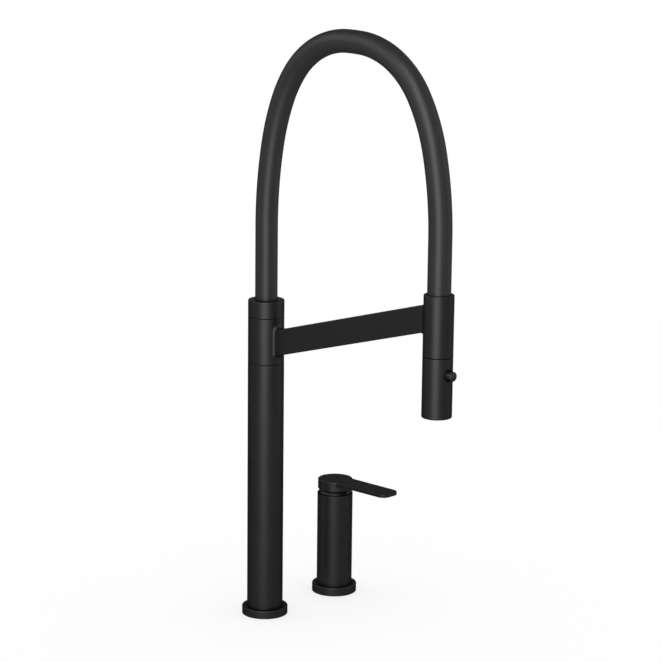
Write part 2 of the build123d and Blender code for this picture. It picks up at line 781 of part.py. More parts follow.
def port_places():
    return around(PORT_CIRCLE_R, 3, PORT_TURN)


def water_ways():
    return around(WAY_CIRCLE_R, 3, PORT_TURN)


def three_seals(z_low, z_high):
    return Compound(children=[Pos(x, y, 0) * ring(3.3, WAY_R + 0.1, z_low, z_high) for x, y in water_ways()])


def cartridge_fixed():
    keep("base_seals", tower(three_seals(SEAT_Z, SEAT_Z + 1.0)))
    base = rod(CARTRIDGE_R, SEAT_Z + 1.05, BASE_TOP)
    keep("cartridge_base", tower(base - [rod(WAY_R, SEAT_Z, BASE_TOP, x, y) for x, y in water_ways()]))
    keep("disc_seals", tower(three_seals(BASE_TOP + 0.02, DISC_Z - 0.03)))
    disc = rod(HOUSING_BORE_R - FIT, DISC_Z, DISC_JOINT)
    keep("fixed_disc", tower(disc - [rod(WAY_R - 0.2, DISC_Z, DISC_JOINT, x, y) for x, y in water_ways()]))
    keep("cartridge_housing", tower(ring(CARTRIDGE_R, HOUSING_BORE_R, BASE_TOP + FIT, HOUSING_TOP)))
    nut = rod(SEAT_R - FIT, HOUSING_TOP + FIT, BLOCK_TOP + 0.2)
    nut += Pos(0, 0, BLOCK_TOP + 0.2) * extrude(RegularPolygon(13.2, 6), NUT_HEX_TOP - BLOCK_TOP - 0.2)
    keep("cartridge_nut", tower(nut - rod(NECK_R + 0.4, HOUSING_TOP, NUT_HEX_TOP)))


def dome_ring():
    """Ball-shaped ring about the lift pivot. It threads into the shell and leaves a dark groove."""
    inner_r = DOME_R - DOME_WALL
    pivot = LIFT_PIVOT_Z
    low = (math.sqrt(DOME_R**2 - (DOME_LOW - pivot) ** 2), DOME_LOW)
    top = (DOME_HOLE_R, pivot + math.sqrt(DOME_R**2 - DOME_HOLE_R**2))
    hole = DOME_HOLE_R * inner_r / DOME_R
    inner_top = (hole, pivot + math.sqrt(inner_r**2 - hole**2))
    skirt_r = 14.1
    inner_low = (skirt_r, pivot + math.sqrt(inner_r**2 - skirt_r**2))
    outside = arc_about(pivot, DOME_R, low, top)
    inside = arc_about(pivot, inner_r, inner_top, inner_low)
    edges = [
        outside,
        Line(point(top), point(inner_top)),
        inside,
        Polyline(
            *[point(p) for p in (inner_low, (skirt_r, 101.4), (15.4, 101.4), (15.4, TOWER_TOP + FIT))],
            point((16.1, TOWER_TOP + FIT)),
            point((16.1, DOME_LOW)),
            point(low),
        ),
    ]
    return revolve(make_face(edges), axis=Axis.Z)


def point(rz):
    return (rz[0], 0, rz[1])


def arc_about(pivot, radius, start, end):
    """Arc of a circle about the pivot, in the outline's plane."""
    a = math.atan2(start[1] - pivot, start[0])
    b = math.atan2(end[1] - pivot, end[0])
    middle = (radius * math.cos((a + b) / 2), pivot + radius * math.sin((a + b) / 2))
    return ThreePointArc(point(start), point(middle), point(end))


# Rotor, sliding disc and stem of the cartridge
ROTOR_R = 12.2
ROTOR_NECK_TOP = 100.5
CARRIER_R = 8.8
CARRIER_FLAT = 7.4
BALL_Z = 83.2
BALL_R = 2.2
STEM_HALF = 3.0
STEM_FOOT = 88.0
STEM_TOP = 116.0
PIN_R = 1.5


def cartridge_moving():
    rotor = rod(ROTOR_R, ROTOR_Z, HOUSING_TOP - RUN) + rod(NECK_R, HOUSING_TOP - 1, ROTOR_NECK_TOP)
    cheeks = rod(ROTOR_R, CARRIER_Z + 0.2, ROTOR_Z + 0.1)
    gap = block((-CARRIER_FLAT - 0.2, CARRIER_FLAT + 0.2), (-20, 20), (CARRIER_Z, ROTOR_Z))
    rotor += cheeks - gap
    slot = block((-STEM_HALF - 0.2, STEM_HALF + 0.2), (-4.8, 7.2), (ROTOR_Z - 1, ROTOR_NECK_TOP + 1))
    rotor -= slot
    rotor -= rod_x(PIN_R + 0.02, 9.6, LIFT_PIVOT_Z)
    keep("cartridge_rotor", tower(rotor))
    keep("stem_pin", tower(rod_x(PIN_R, 9.5, LIFT_PIVOT_Z)))

    disc = rod(CARRIER_R, DISC_JOINT + 0.02, CARRIER_Z) - rod(5.0, DISC_JOINT, DISC_JOINT + 2, 0, -1.2)
    keep("moving_disc", tower(disc))
    carrier = rod(CARRIER_R, CARRIER_Z + 0.02, CARRIER_TOP)
    carrier &= block((-CARRIER_FLAT, CARRIER_FLAT), (-20, 20), (CARRIER_Z, CARRIER_TOP))
    socket = rod(BALL_R + 0.3, BALL_Z - 2.8, CARRIER_TOP)
    keep("disc_carrier", tower(carrier - socket))


def lever_stem():
    half = STEM_HALF
    stem = block((-half, half), (-half, half), (STEM_FOOT, STEM_TOP))
    stem += rod(1.4, BALL_Z, STEM_FOOT + 0.1)
    stem += Pos(0, 0, BALL_Z) * Sphere(BALL_R)
    stem = chamfer(stem.faces().sort_by(Axis.Z)[-1].edges(), 0.5)
    return stem - rod_x(PIN_R + 0.06, 9.5, LIFT_PIVOT_Z)


# Lever: hub and paddle in one piece
HUB_BORE_R = 15.4
HUB_CEILING = 112.9
BOSS_R = 5.0
BOSS_BOTTOM = 110.0
SCREW_Z = 114.9
SCREW_R = 1.45
WEB_FILLET = 4.0


def lever_plan():
    """Plan of the hub's disc and the paddle, with rounded tip corners and blended roots."""
    half, corner, tip = PADDLE_W / 2, PADDLE_CORNER, -PADDLE_TIP
    paddle = Pos(0, tip / 2) * Rectangle(PADDLE_W, PADDLE_TIP)
    tip_corners = paddle.vertices().sort_by(Axis.Y)[:2]
    paddle = fillet(tip_corners, corner)
    plan = paddle + Circle(HUB_D / 2)
    root_y = -math.sqrt((HUB_D / 2) ** 2 - half**2)
    roots = [v for v in plan.vertices() if abs(v.Y - root_y) < 0.01]
    return fillet(roots, WEB_FILLET)


def lever_handle():
    root, tip = LEVER_TOP - PADDLE_ROOT_T, LEVER_TOP - PADDLE_TIP_T
    plate = Pos(0, 0, HUB_CEILING) * extrude(lever_plan(), LEVER_TOP - HUB_CEILING)
    hub_r = HUB_D / 2
    under = Polyline(
        (0, -hub_r + 1, HUB_CEILING - 1),
        (0, -hub_r + 1, root),
        (0, -PADDLE_TIP - 1, tip),
        (0, -PADDLE_TIP - 1, HUB_CEILING - 1),
        close=True,
    )
    wedge = extrude(make_face(under), 30, both=True, dir=(1, 0, 0))
    plate -= wedge - rod(hub_r, HUB_BOTTOM, LEVER_TOP)
    skirt = ring(hub_r, HUB_BORE_R, HUB_BOTTOM, HUB_CEILING)
    handle = plate + skirt
    top_edges = handle.faces().sort_by(Axis.Z)[-1].edges()
    handle = fillet(top_edges, 0.6)
    handle = chamfer(rims(handle, hub_r, HUB_BOTTOM), 0.25)
    handle += rod(BOSS_R, BOSS_BOTTOM, HUB_CEILING + 0.5)
    half = STEM_HALF + FIT
    handle -= block((-half, half), (-half, half), (BOSS_BOTTOM - 1, STEM_TOP + 0.1))
    return handle - rod_y(SCREW_R + FIT, 2, hub_r + 1, SCREW_Z)


def lever_group():
    keep("lever_stem", tower(lever_stem()))
    keep("lever_handle", tower(lever_handle()))
    screw = rod_y(SCREW_R, STEM_HALF + RUN, 11.5, SCREW_Z)
    socket = Pos(0, 10.0, SCREW_Z) * Rot(-90, 0, 0) * extrude(RegularPolygon(0.85, 6), 2)
    keep("lever_grub_screw", tower(screw - socket))
    plug = rod_y(SCREW_R, 14.4, HUB_D / 2 + 0.1, SCREW_Z)
    plug &= rod(HUB_D / 2, SCREW_Z - 3, SCREW_Z + 3)
    keep("screw_plug", tower(plug))


def main():
    column_group()
    swivel_group()
    arm_group()
    collar_group()
    hose_group()
    hose_nut()
    spray_nipple()
    spray_group()
    diverter_group()
    tower_case()
    keep("valve_block", tower(valve_block()))
    keep("port_sleeves", tower(port_sleeves()))
    cartridge_fixed()
    keep("dome_ring", tower(dome_ring()))
    cartridge_moving()
    lever_group()
    os.makedirs("parts", exist_ok=True)
    for name, shape in parts.items():
        export_step(shape, f"parts/{name}.step")
    print(len(parts), "nodes")


main()
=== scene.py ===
"""Looks of a two-hole kitchen tap: black coating, silicone hose, soft nozzles, threads, studio."""

import json
import math
from functools import partial, wraps

import bmesh
import bpy
from mathutils import Matrix, Vector


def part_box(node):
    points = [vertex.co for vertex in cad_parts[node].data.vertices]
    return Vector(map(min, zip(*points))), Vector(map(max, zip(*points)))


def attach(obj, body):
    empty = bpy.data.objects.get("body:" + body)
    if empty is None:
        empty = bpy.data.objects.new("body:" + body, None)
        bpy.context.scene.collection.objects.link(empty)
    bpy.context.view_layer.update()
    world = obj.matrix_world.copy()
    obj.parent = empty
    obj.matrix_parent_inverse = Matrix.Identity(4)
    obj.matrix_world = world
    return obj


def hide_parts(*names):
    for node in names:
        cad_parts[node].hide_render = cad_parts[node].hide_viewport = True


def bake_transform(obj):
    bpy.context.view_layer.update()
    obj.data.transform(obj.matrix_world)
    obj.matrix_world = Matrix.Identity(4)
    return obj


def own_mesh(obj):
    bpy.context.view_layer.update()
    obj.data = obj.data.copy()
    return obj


bl_info = {
    "name": "Two-hole kitchen tap",
    "version": (1, 0, 0),
    "blender": (4, 5, 0),
    "location": "View3D > Sidebar > Tap",
    "description": "Dresses the packed tap with its finishes, hose, nozzles and threads, "
                   "and sets up the studio",
    "category": "Object",
}

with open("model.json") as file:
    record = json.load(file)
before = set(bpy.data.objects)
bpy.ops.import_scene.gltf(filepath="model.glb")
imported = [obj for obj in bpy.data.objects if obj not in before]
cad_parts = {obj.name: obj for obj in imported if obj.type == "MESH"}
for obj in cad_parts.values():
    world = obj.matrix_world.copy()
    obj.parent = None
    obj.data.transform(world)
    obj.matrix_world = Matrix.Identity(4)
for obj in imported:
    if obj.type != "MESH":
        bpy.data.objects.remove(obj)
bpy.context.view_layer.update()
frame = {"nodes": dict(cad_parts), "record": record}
NODES = frame["nodes"]

# A millimetre, and how near two points are taken as one, both in metres
MM = 0.001
SAME_SPOT = 1e-6


def middle_of(node):
    """Middle of a node's box."""
    low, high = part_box(node)
    return (low + high) / 2


def radius_of(node):
    """Radius of a node that is round about an upright axis."""
    low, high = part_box(node)
    return (high.x - low.x) / 2


# Places read from the frame, in metres
COLUMN = middle_of("column_tube")
TOWER = middle_of("tower_shell")
SPRAY = middle_of("spray_upper_shell")
HOSE_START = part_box("arch_hose")[0].z
HOSE_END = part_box("hose_tail")[0].z
INNER_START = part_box("inner_hose")[0].z
HOSE_RADIUS = radius_of("hose_tail")
INNER_RADIUS = radius_of("inner_hose")

# Which finish each node of the frame takes
COATED = (
    "column_flange", "column_tube", "holder_arm", "hose_collar", "hose_nut", "tower_flange",
    "dome_ring", "lever_handle",
)
COATED_SPRAY = ("spray_upper_shell", "spray_lower_shell")
COATED_TOWER = ("tower_shell",)
BLACK_PLASTIC = (
    "swivel_bush", "dock_pad", "spray_core", "spray_face", "aerator", "screw_plug",
)
# Seam rings: black plastic, made darker still as painted shade in the seams
SEAM_PLASTIC_PAINTED_SHADE = ("collar_washer", "spray_joint_ring")
PALE_PLASTIC = (
    "non_return_valve", "spool_plug", "flow_divider", "cartridge_base", "cartridge_housing",
    "cartridge_rotor", "disc_carrier",
)
BRASS = (
    "column_foot", "column_inlet", "swivel_spigot", "hose_nipple", "spray_nipple",
    "tower_foot", "valve_block", "port_sleeves", "cartridge_nut",
)
STEEL = ("riser_pipe", "hose_ferrule", "dock_plate", "stem_pin")
# The button spring is here too, dark as painted shade in the gap round the button
BLACKENED_STEEL = ("swivel_lock_screw", "lever_grub_screw", "button_spring")
SEALS = (
    "column_base_seal", "swivel_o_rings", "spool_o_rings", "tower_base_seal", "base_seals",
    "disc_seals",
)
CERAMIC = ("fixed_disc", "moving_disc")
# Dark colour of the blackened screws, and of the button spring as painted shade in the gap round
# the button
BLACKENED_STEEL_AND_PAINTED_SHADE_COLOUR = (0.035, 0.035, 0.036, 1.0)

# How far the painted seam shade, a darker coating colour, goes up and down from the middle of the
# spray's seam, and below the tower's rim
SPRAY_PAINTED_SHADE_HALF = 0.45 * MM
TOWER_PAINTED_SHADE_HALF = 0.35 * MM

# The water hose in the silicone hose ends this far below the nut's top
INNER_END_DEPTH = 6.45 * MM

# Length of the level stretch at each side of the hose's crown
CROWN_LEVEL = 0.1 * MM

# Soft nozzles: radius and count of each ring, and the sizes of a nozzle and of the mat, which
# stands off the spray's face by the gap
NOZZLE_RINGS = ((7.6 * MM, 10), (9.9 * MM, 16))
NOZZLE_ROOT = 0.66 * MM
NOZZLE_TIP = 0.55 * MM
NOZZLE_BORE = 0.3 * MM
MAT_BORE = 5.55 * MM
NOZZLE_SIDES = 16
MAT_SIDES = 64
MAT_GAP = 0.05 * MM

# Threads cut in the bores that the record states: least core radius, pitch and piece name of
# each kind, and the depth of a ridge as a share of its pitch
THREADS = (
    (10 * MM, 1.5 * MM, "foot_threads"),
    (6 * MM, 1.337 * MM, "union_thread"),
    (0.0, 1.0 * MM, "sleeve_threads"),
)
THREAD_DEPTH = 0.2

# Upright softboxes: name, turn from the camera towards the viewer's right in degrees, distance,
# width, lower and upper edge in metres, and brightness as a share of the front one's
SOFTBOXES = (
    ("front softbox, foot", -9.0, 1.25, 0.74, 0.0, 0.25, 1.7),
    ("front softbox", -9.0, 1.25, 0.74, 0.25, 1.1, 1.0),
    ("front softbox, top", -9.0, 1.25, 0.74, 1.1, 2.2, 1.5),
    ("left softbox, high", -84.0, 1.4, 1.7, 0.85, 2.3, 0.45),
    ("left softbox", -104.0, 1.4, 0.7, 0.0, 0.85, 0.12),
    ("right softbox", 100.0, 1.4, 1.0, 0.0, 1.6, 0.22),
    ("back softbox", 134.0, 1.4, 0.6, 0.0, 1.8, 0.3),
)

# Floor: half its side, its height, and how far the camera sees it as plain white
FLOOR_HALF = 6.0
FLOOR_HEIGHT = -0.2 * MM
FLOOR_WHITE = 0.7


class TapHoseSizes(bpy.types.PropertyGroup):
    """Route and section of the hose, and the button's travel."""

    rise_top: bpy.props.FloatProperty(
        name="Rise leg top", description="Where the leg on the column's side begins to bend",
        default=0.3849, subtype="DISTANCE")
    rise_radii: bpy.props.FloatVectorProperty(
        name="Rise radii", description="Arc radii on the column's side, from the leg up",
        default=(0.4136, 0.2146, 0.1244), subtype="XYZ", unit="LENGTH")
    rise_turns: bpy.props.FloatVectorProperty(
        name="Rise turns", description="Turn of each arc on the column's side",
        default=[math.radians(t) for t in (11.0, 11.7, 14.1)], subtype="EULER", unit="ROTATION")
    fall_top: bpy.props.FloatProperty(
        name="Fall leg top", description="Where the leg on the spray's side begins to bend",
        default=0.3991, subtype="DISTANCE")
    fall_radii: bpy.props.FloatVectorProperty(
        name="Fall radii", description="Arc radii on the spray's side, from the leg up",
        default=(0.3344, 0.1610, 0.0904), subtype="XYZ", unit="LENGTH")
    fall_turns: bpy.props.FloatVectorProperty(
        name="Fall turns", description="Turn of each arc on the spray's side",
        default=[math.radians(t) for t in (13.1, 18.2, 54.9)], subtype="EULER", unit="ROTATION")
    outer_bore: bpy.props.FloatProperty(
        name="Outer hose bore", description="Bore of the silicone hose",
        default=14.6 * MM, subtype="DISTANCE")
    inner_bore: bpy.props.FloatProperty(
        name="Inner hose bore", description="Bore of the water hose",
        default=8.9 * MM, subtype="DISTANCE")
    button_travel: bpy.props.FloatProperty(
        name="Button travel", description="How far the button goes in",
        default=2.2 * MM, subtype="DISTANCE")
    sides: bpy.props.IntProperty(
        name="Sides", description="Faces round the hose", default=96, min=12)
    step: bpy.props.FloatProperty(
        name="Step", description="Distance between rings along the hose",
        default=1.6 * MM, subtype="DISTANCE")


class TapCoatLook(bpy.types.PropertyGroup):
    """Colours and roughness of the finishes."""

    coat: bpy.props.FloatVectorProperty(
        name="Coating", description="Matt black coating", default=(0.0172, 0.0172, 0.0175),
        subtype="COLOR", min=0, max=1)
    coat_roughness: bpy.props.FloatProperty(
        name="Coating roughness", description="Mean roughness of the coating",
        default=0.45, min=0, max=1)
    # Painted highlight: how much lighter the button's coating colour is made
    button_painted_highlight: bpy.props.FloatProperty(
        name="Button painted highlight", description="How much lighter the button's coating is",
        default=1.35, min=0)
    # Painted shade: how much darker the coating's colour is made on the edges of a seam
    seam_shade: bpy.props.FloatProperty(
        name="Seam shade", description="How much darker the coating is on the edges of a seam",
        default=0.85, min=0, max=1)
    hose: bpy.props.FloatVectorProperty(
        name="Hose", description="Silicone hose", default=(0.0296, 0.0296, 0.0299),
        subtype="COLOR", min=0, max=1)
    hose_roughness: bpy.props.FloatProperty(
        name="Hose roughness", description="Mean roughness of the hose",
        default=0.45, min=0, max=1)
    edge_sheen: bpy.props.FloatProperty(
        name="Edge sheen",
        description="How much the coating still reflects where it turns away",
        default=0.42, min=0, max=1)
    grain: bpy.props.FloatProperty(
        name="Grain", description="Size of the coating's grain",
        default=0.35 * MM, subtype="DISTANCE")
    peel: bpy.props.FloatProperty(
        name="Peel", description="Size of the coating's slow unevenness",
        default=2.4 * MM, subtype="DISTANCE")


class TapStudio(bpy.types.PropertyGroup):
    """Camera solved from the photograph, and the lamps."""

    azimuth: bpy.props.FloatProperty(
        name="Azimuth", description="Direction of view, from +X towards +Y",
        default=math.radians(43.726), subtype="ANGLE")
    elevation: bpy.props.FloatProperty(
        name="Elevation", description="How far the view looks down",
        default=math.radians(11.935), subtype="ANGLE")
    roll: bpy.props.FloatProperty(
        name="Roll", description="Turn about the view",
        default=math.radians(0.632), subtype="ANGLE")
    distance: bpy.props.FloatProperty(
        name="Distance", description="Depth of the column's foot",
        default=2.196126, subtype="DISTANCE")
    focal_px: bpy.props.FloatProperty(
        name="Focal length", description="Focal length in pixels of the frame", default=2229.297)
    frame_px: bpy.props.FloatProperty(
        name="Frame", description="Side of the square frame, in pixels", default=662.0)
    foot_px: bpy.props.FloatVectorProperty(
        name="Foot", description="Pixel where the column's foot lies in the frame",
        default=(264.778, 611.827), size=2)
    softbox_level: bpy.props.FloatProperty(
        name="Softboxes",
        description="Brightness of the front softbox, which the others are shares of",
        default=7.8, min=0)


# Small helpers for node trees
FLOAT, COLOR, VECTOR = "NodeSocketFloat", "NodeSocketColor", "NodeSocketVector"
INTEGER, MATERIAL = "NodeSocketInt", "NodeSocketMaterial"
KIND_OF = {float: FLOAT, int: INTEGER, tuple: COLOR}


def feed(tree, value, socket):
    """Links a socket, or sets a plain value."""
    if isinstance(value, bpy.types.NodeSocket):
        tree.links.new(value, socket)
    elif value is not None:
        socket.default_value = value


def add(tree, kind, **values):
    """A new node. Names of inputs, with _ for a space, feed them, and others are settings."""
    node = tree.nodes.new(kind)
    for name, value in values.items():
        socket = node.inputs.get(name.replace("_", " "))
        if socket is None:
            setattr(node, name, value)
        else:
            feed(tree, value, socket)
    return node


def give(tree, out, **values):
    """Feeds the outputs of a group."""
    for name, value in values.items():
        feed(tree, value, out.inputs[name])


def math_node(tree, operation, a, b=None, c=None):
    """Output of a Math node fed by sockets or numbers."""
    node = add(tree, "ShaderNodeMath", operation=operation)
    for socket, value in zip(node.inputs, (a, b, c)):
        feed(tree, value, socket)
    return node.outputs[0]


def vector_node(tree, operation, a, b=None, scale=None):
    """Vector output of a Vector Math node fed by sockets or numbers."""
    node = add(tree, "ShaderNodeVectorMath", operation=operation)
    for socket, value in zip(node.inputs, (a, b)):
        feed(tree, value, socket)
    if scale is not None:
        feed(tree, scale, node.inputs["Scale"])
    return node.outputs["Vector"]


def add_sockets(group, inputs, outputs):
    """Gives a group its sockets. An input comes with its default, or else with its kind."""
    for name, default in inputs.items():
        kind = default if isinstance(default, str) else KIND_OF[type(default)]
        made = group.interface.new_socket(name=name, in_out="INPUT", socket_type=kind)
        if kind is not default:
            made.default_value = default
    for name, kind in outputs.items():
        group.interface.new_socket(name=name, in_out="OUTPUT", socket_type=kind)
    return group, group.nodes.new("NodeGroupInput").outputs, group.nodes.new("NodeGroupOutput")


def shader_group(name, inputs):
    """Group of an effect that feeds a finish with its colour, roughness and relief."""
    group = bpy.data.node_groups.new(name, "ShaderNodeTree")
    outputs = {"Color": COLOR, "Roughness": FLOAT, "Height": FLOAT}
    return add_sockets(group, {"Vector": VECTOR, **inputs}, outputs)


def geometry_group(name, inputs):
    """Geometry tree whose first input and only output are geometry."""
    tree = bpy.data.node_groups.new(name, "GeometryNodeTree")
    kind = "NodeSocketGeometry"
    return add_sockets(tree, {"Geometry": kind, **inputs, "Material": MATERIAL}, {"Geometry": kind})


def built_once(build):
    """Makes a node group at the first call, and hands out the same one after that."""
    name = build.__name__.replace("_", " ").capitalize()

    @wraps(build)
    def group():
        if name not in bpy.data.node_groups:
            build(name)
        return bpy.data.node_groups[name]

    return group


# Effects
@built_once
def grain_and_painted_shade(name):
    """Grain of a coating or moulding: fine speckle over a slow peel; painted shade darkens a level
    seam.
    """
    group, take, out = shader_group(name, {
        "Grain Size": 0.0004,
        "Peel Size": 0.0025,
        "Colour": (0.02, 0.02, 0.02, 1.0),
        "Colour Change": 0.15,
        "Roughness": 0.6,
        "Roughness Change": 0.06,
        "Seam Height": 0.0,
        "Seam Half": 0.0003,
        "Seam Shade": 0.0,
    })
    calc = partial(math_node, group)

    def noise(scale, detail, roughness):
        texture = add(group, "ShaderNodeTexNoise", Vector=take["Vector"], Scale=scale,
                      Detail=detail, Roughness=roughness)
        return texture.outputs["Fac"]

    speckle = noise(calc("DIVIDE", 1.0, take["Grain Size"]), detail=3.0, roughness=0.6)
    peel = noise(calc("DIVIDE", 1.0, take["Peel Size"]), detail=1.0, roughness=0.5)
    mottle = noise(scale=28.0, detail=4.0, roughness=0.55)
    signed = calc("SUBTRACT", speckle, 0.5)
    slow = calc("SUBTRACT", mottle, 0.5)
    change = calc("MULTIPLY", calc("ADD", signed, slow), take["Colour Change"])
    parts = add(group, "ShaderNodeSeparateXYZ", Vector=take["Vector"])
    # Painted shade: the colour is darker in a level band about the seam's height, standing in for
    # shade in the gap
    off = calc("ABSOLUTE", calc("SUBTRACT", parts.outputs["Z"], take["Seam Height"]))
    in_painted_shade = calc("LESS_THAN", off, take["Seam Half"])
    seam = calc("SUBTRACT", 1.0, calc("MULTIPLY", in_painted_shade, take["Seam Shade"]))
    factor = calc("MULTIPLY", calc("ADD", calc("MULTIPLY", change, 2.0), 1.0), seam)
    rough = calc("MULTIPLY", calc("ADD", slow, signed), take["Roughness Change"])
    give(group, out,
         Color=vector_node(group, "SCALE", take["Colour"], scale=factor),
         Roughness=calc("ADD", rough, take["Roughness"]),
         Height=calc("MULTIPLY_ADD", peel, 0.6, calc("MULTIPLY", signed, 0.4)))


@built_once
def tool_marks(name):
    """Fine rings that a lathe leaves on a turned piece, about its upright axis, with tarnish."""
    group, take, out = shader_group(name, {
        "Pitch": 0.0003,
        "Colour": (0.5, 0.5, 0.5, 1.0),
        "Colour Change": 0.1,
        "Roughness": 0.3,
        "Roughness Change": 0.1,
    })
    calc = partial(math_node, group)
    x, y, z = add(group, "ShaderNodeSeparateXYZ", Vector=take["Vector"]).outputs
    from_axis = calc("SQRT", calc("MULTIPLY_ADD", x, x, calc("MULTIPLY", y, y)))
    band = add(group, "ShaderNodeTexNoise", noise_dimensions="1D", W=calc("ADD", from_axis, z),
               Scale=calc("DIVIDE", 1.0, take["Pitch"]), Detail=2.0, Roughness=0.7)
    tarnish = add(group, "ShaderNodeTexNoise", Vector=take["Vector"], Scale=120.0, Detail=5.0,
                  Roughness=0.6)
    ring = calc("SUBTRACT", band.outputs["Fac"], 0.5)
    mixed = calc("ADD", ring, calc("SUBTRACT", tarnish.outputs["Fac"], 0.5))
    factor = calc("MULTIPLY_ADD", mixed, take["Colour Change"], 1.0)
    give(group, out,
         Color=vector_node(group, "SCALE", take["Colour"], scale=factor),
         Roughness=calc("MULTIPLY_ADD", mixed, take["Roughness Change"], take["Roughness"]),
         Height=ring)


def finish_material(name, group, values, bump, centre=(0.0, 0.0, 0.0), **constants):
    """Material fed by an effect group with its values; constants go to the shader's own sockets."""
    material = bpy.data.materials.new(name)
    material.use_nodes = True
    tree = material.node_tree
    shader = tree.nodes["Principled BSDF"]
    place = add(tree, "ShaderNodeTexCoord").outputs["Object"]
    centred = add(tree, "ShaderNodeMapping", Vector=place, Location=[-c for c in centre])
    effect = add(tree, "ShaderNodeGroup", node_tree=group)
    for socket, value in values.items():
        effect.inputs[socket].default_value = value
    feed(tree, centred.outputs["Vector"], effect.inputs["Vector"])
    relief = add(tree, "ShaderNodeBump", Strength=1.0, Distance=bump,
                 Height=effect.outputs["Height"])
    feed(tree, effect.outputs["Color"], shader.inputs["Base Color"])
    feed(tree, effect.outputs["Roughness"], shader.inputs["Roughness"])
    feed(tree, relief.outputs["Normal"], shader.inputs["Normal"])
    for socket, value in constants.items():
        shader.inputs[socket.replace("_", " ")].default_value = value
    return material


def dress(nodes, *finish, **constants):
    """Gives nodes of the frame a new finish, described as for finish_material."""
    material = finish_material(*finish, **constants)
    for name in nodes:
        slots = NODES[name].data.materials
        slots.clear()
        slots.append(material)


# Finishes of the frame's nodes
class TAP_OT_coating(bpy.types.Operator):
    """Matt black coating on the metal pieces"""

    bl_idname = "tap.coating"
    bl_label = "Matt black coating"

    def execute(self, context):
        look = context.scene.tap_look
        values = {
            "Grain Size": look.grain, "Peel Size": look.peel, "Colour": (*look.coat, 1.0),
            "Colour Change": 0.12, "Roughness": look.coat_roughness, "Roughness Change": 0.05,
        }
        metal = {"Metallic": 1.0, "Specular_Tint": (look.edge_sheen,) * 3 + (1.0,)}
        dress(COATED, "matt black coating", grain_and_painted_shade(), values, 0.006 * MM, **metal)
        # Painted shade: the spray's and the tower's shells get a darker coating colour about their
        # seams
        for label, nodes, height, half in (
            ("spray", COATED_SPRAY, middle_of("spray_joint_ring").z, SPRAY_PAINTED_SHADE_HALF),
            ("tower", COATED_TOWER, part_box("tower_shell")[1].z, TOWER_PAINTED_SHADE_HALF),
        ):
            seam = {"Seam Height": height, "Seam Half": half, "Seam Shade": look.seam_shade}
            dress(nodes, "matt black coating, " + label, grain_and_painted_shade(), {**values, **seam},
                  0.006 * MM, **metal)
        # Painted highlight: the button's coating colour is made lighter than the rest
        values["Colour"] = (*[c * look.button_painted_highlight for c in look.coat], 1.0)
        dress(["diverter_button"], "black button with painted highlight", grain_and_painted_shade(), values, 0.004 * MM, **metal)
        return {"FINISHED"}


class TAP_OT_plastics(bpy.types.Operator):
    """Moulded black and pale plastic pieces"""

    bl_idname = "tap.plastics"
    bl_label = "Plastics"

    def execute(self, context):
        black = {"Grain Size": 0.25 * MM, "Peel Size": 1.5 * MM, "Roughness": 0.55,
                 "Colour": (0.005, 0.005, 0.005, 1.0)}
        dress(BLACK_PLASTIC, "black moulded plastic", grain_and_painted_shade(), black, 0.01 * MM,
              Specular_IOR_Level=0.15)
        # Partly painted shade: the seam rings are black plastic, their colour turned darker still
        # for the seams' shade
        dull = {**black, "Colour": (0.003, 0.003, 0.003, 1.0)}
        dress(SEAM_PLASTIC_PAINTED_SHADE, "black seam plastic with painted shade", grain_and_painted_shade(), dull, 0.01 * MM,
              Specular_IOR_Level=0.02)
        pale = {"Grain Size": 0.3 * MM, "Peel Size": 4.0 * MM, "Colour": (0.72, 0.71, 0.67, 1.0),
                "Colour Change": 0.03, "Roughness": 0.42}
        dress(PALE_PLASTIC, "pale moulded plastic", grain_and_painted_shade(), pale, 0.008 * MM)
        return {"FINISHED"}


class TAP_OT_metals(bpy.types.Operator):
    """Turned and drawn brass, bright and blackened steel, and plated magnets"""

    bl_idname = "tap.metals"
    bl_label = "Bare metals"

    def execute(self, context):
        for label, axis in (("column", COLUMN), ("tower", TOWER), ("spray", SPRAY)):
            nodes = [n for n in BRASS if axis_of(n) == axis]
            dress(nodes, "turned brass, " + label, *turned_brass(axis), Metallic=1.0)
        drawn = {"Grain Size": 0.2 * MM, "Peel Size": 2.0 * MM, "Colour": (0.3, 0.21, 0.09, 1.0),
                 "Colour Change": 0.1, "Roughness": 0.4}
        dress(["lever_stem"], "drawn brass", grain_and_painted_shade(), drawn, 0.004 * MM, Metallic=1.0)
        # Painted shade: the spool's brass is made near black, so the gap round the button reads
        # dark
        spool = {"Pitch": 0.3 * MM, "Colour": (0.03, 0.022, 0.012, 1.0), "Roughness": 0.42}
        dress(["diverter_spool"], "brass darkened as painted shade", tool_marks(), spool, 0.005 * MM,
              (SPRAY.x, SPRAY.y, 0), Metallic=1.0)
        for label, nodes, colour in (
            ("stainless steel", STEEL, (0.52, 0.52, 0.53, 1.0)),
            ("blackened steel", BLACKENED_STEEL, BLACKENED_STEEL_AND_PAINTED_SHADE_COLOUR),
        ):
            values = {"Pitch": 0.2 * MM, "Colour": colour, "Colour Change": 0.15,
                      "Roughness": 0.28, "Roughness Change": 0.15}
            dress(nodes, label, tool_marks(), values, 0.005 * MM, Metallic=1.0)
        plate = {"Grain Size": 0.4 * MM, "Peel Size": 3.0 * MM, "Colour": (0.7, 0.69, 0.66, 1.0),
                 "Colour Change": 0.04, "Roughness": 0.16, "Roughness Change": 0.05}
        dress(["dock_magnets"], "nickel plate", grain_and_painted_shade(), plate, 0.002 * MM, Metallic=1.0)
        return {"FINISHED"}


def axis_of(node):
    """The one of the three upright axes that lies nearest to a node."""
    place = middle_of(node)
    return min((COLUMN, TOWER, SPRAY), key=lambda a: math.hypot(place.x - a.x, place.y - a.y))


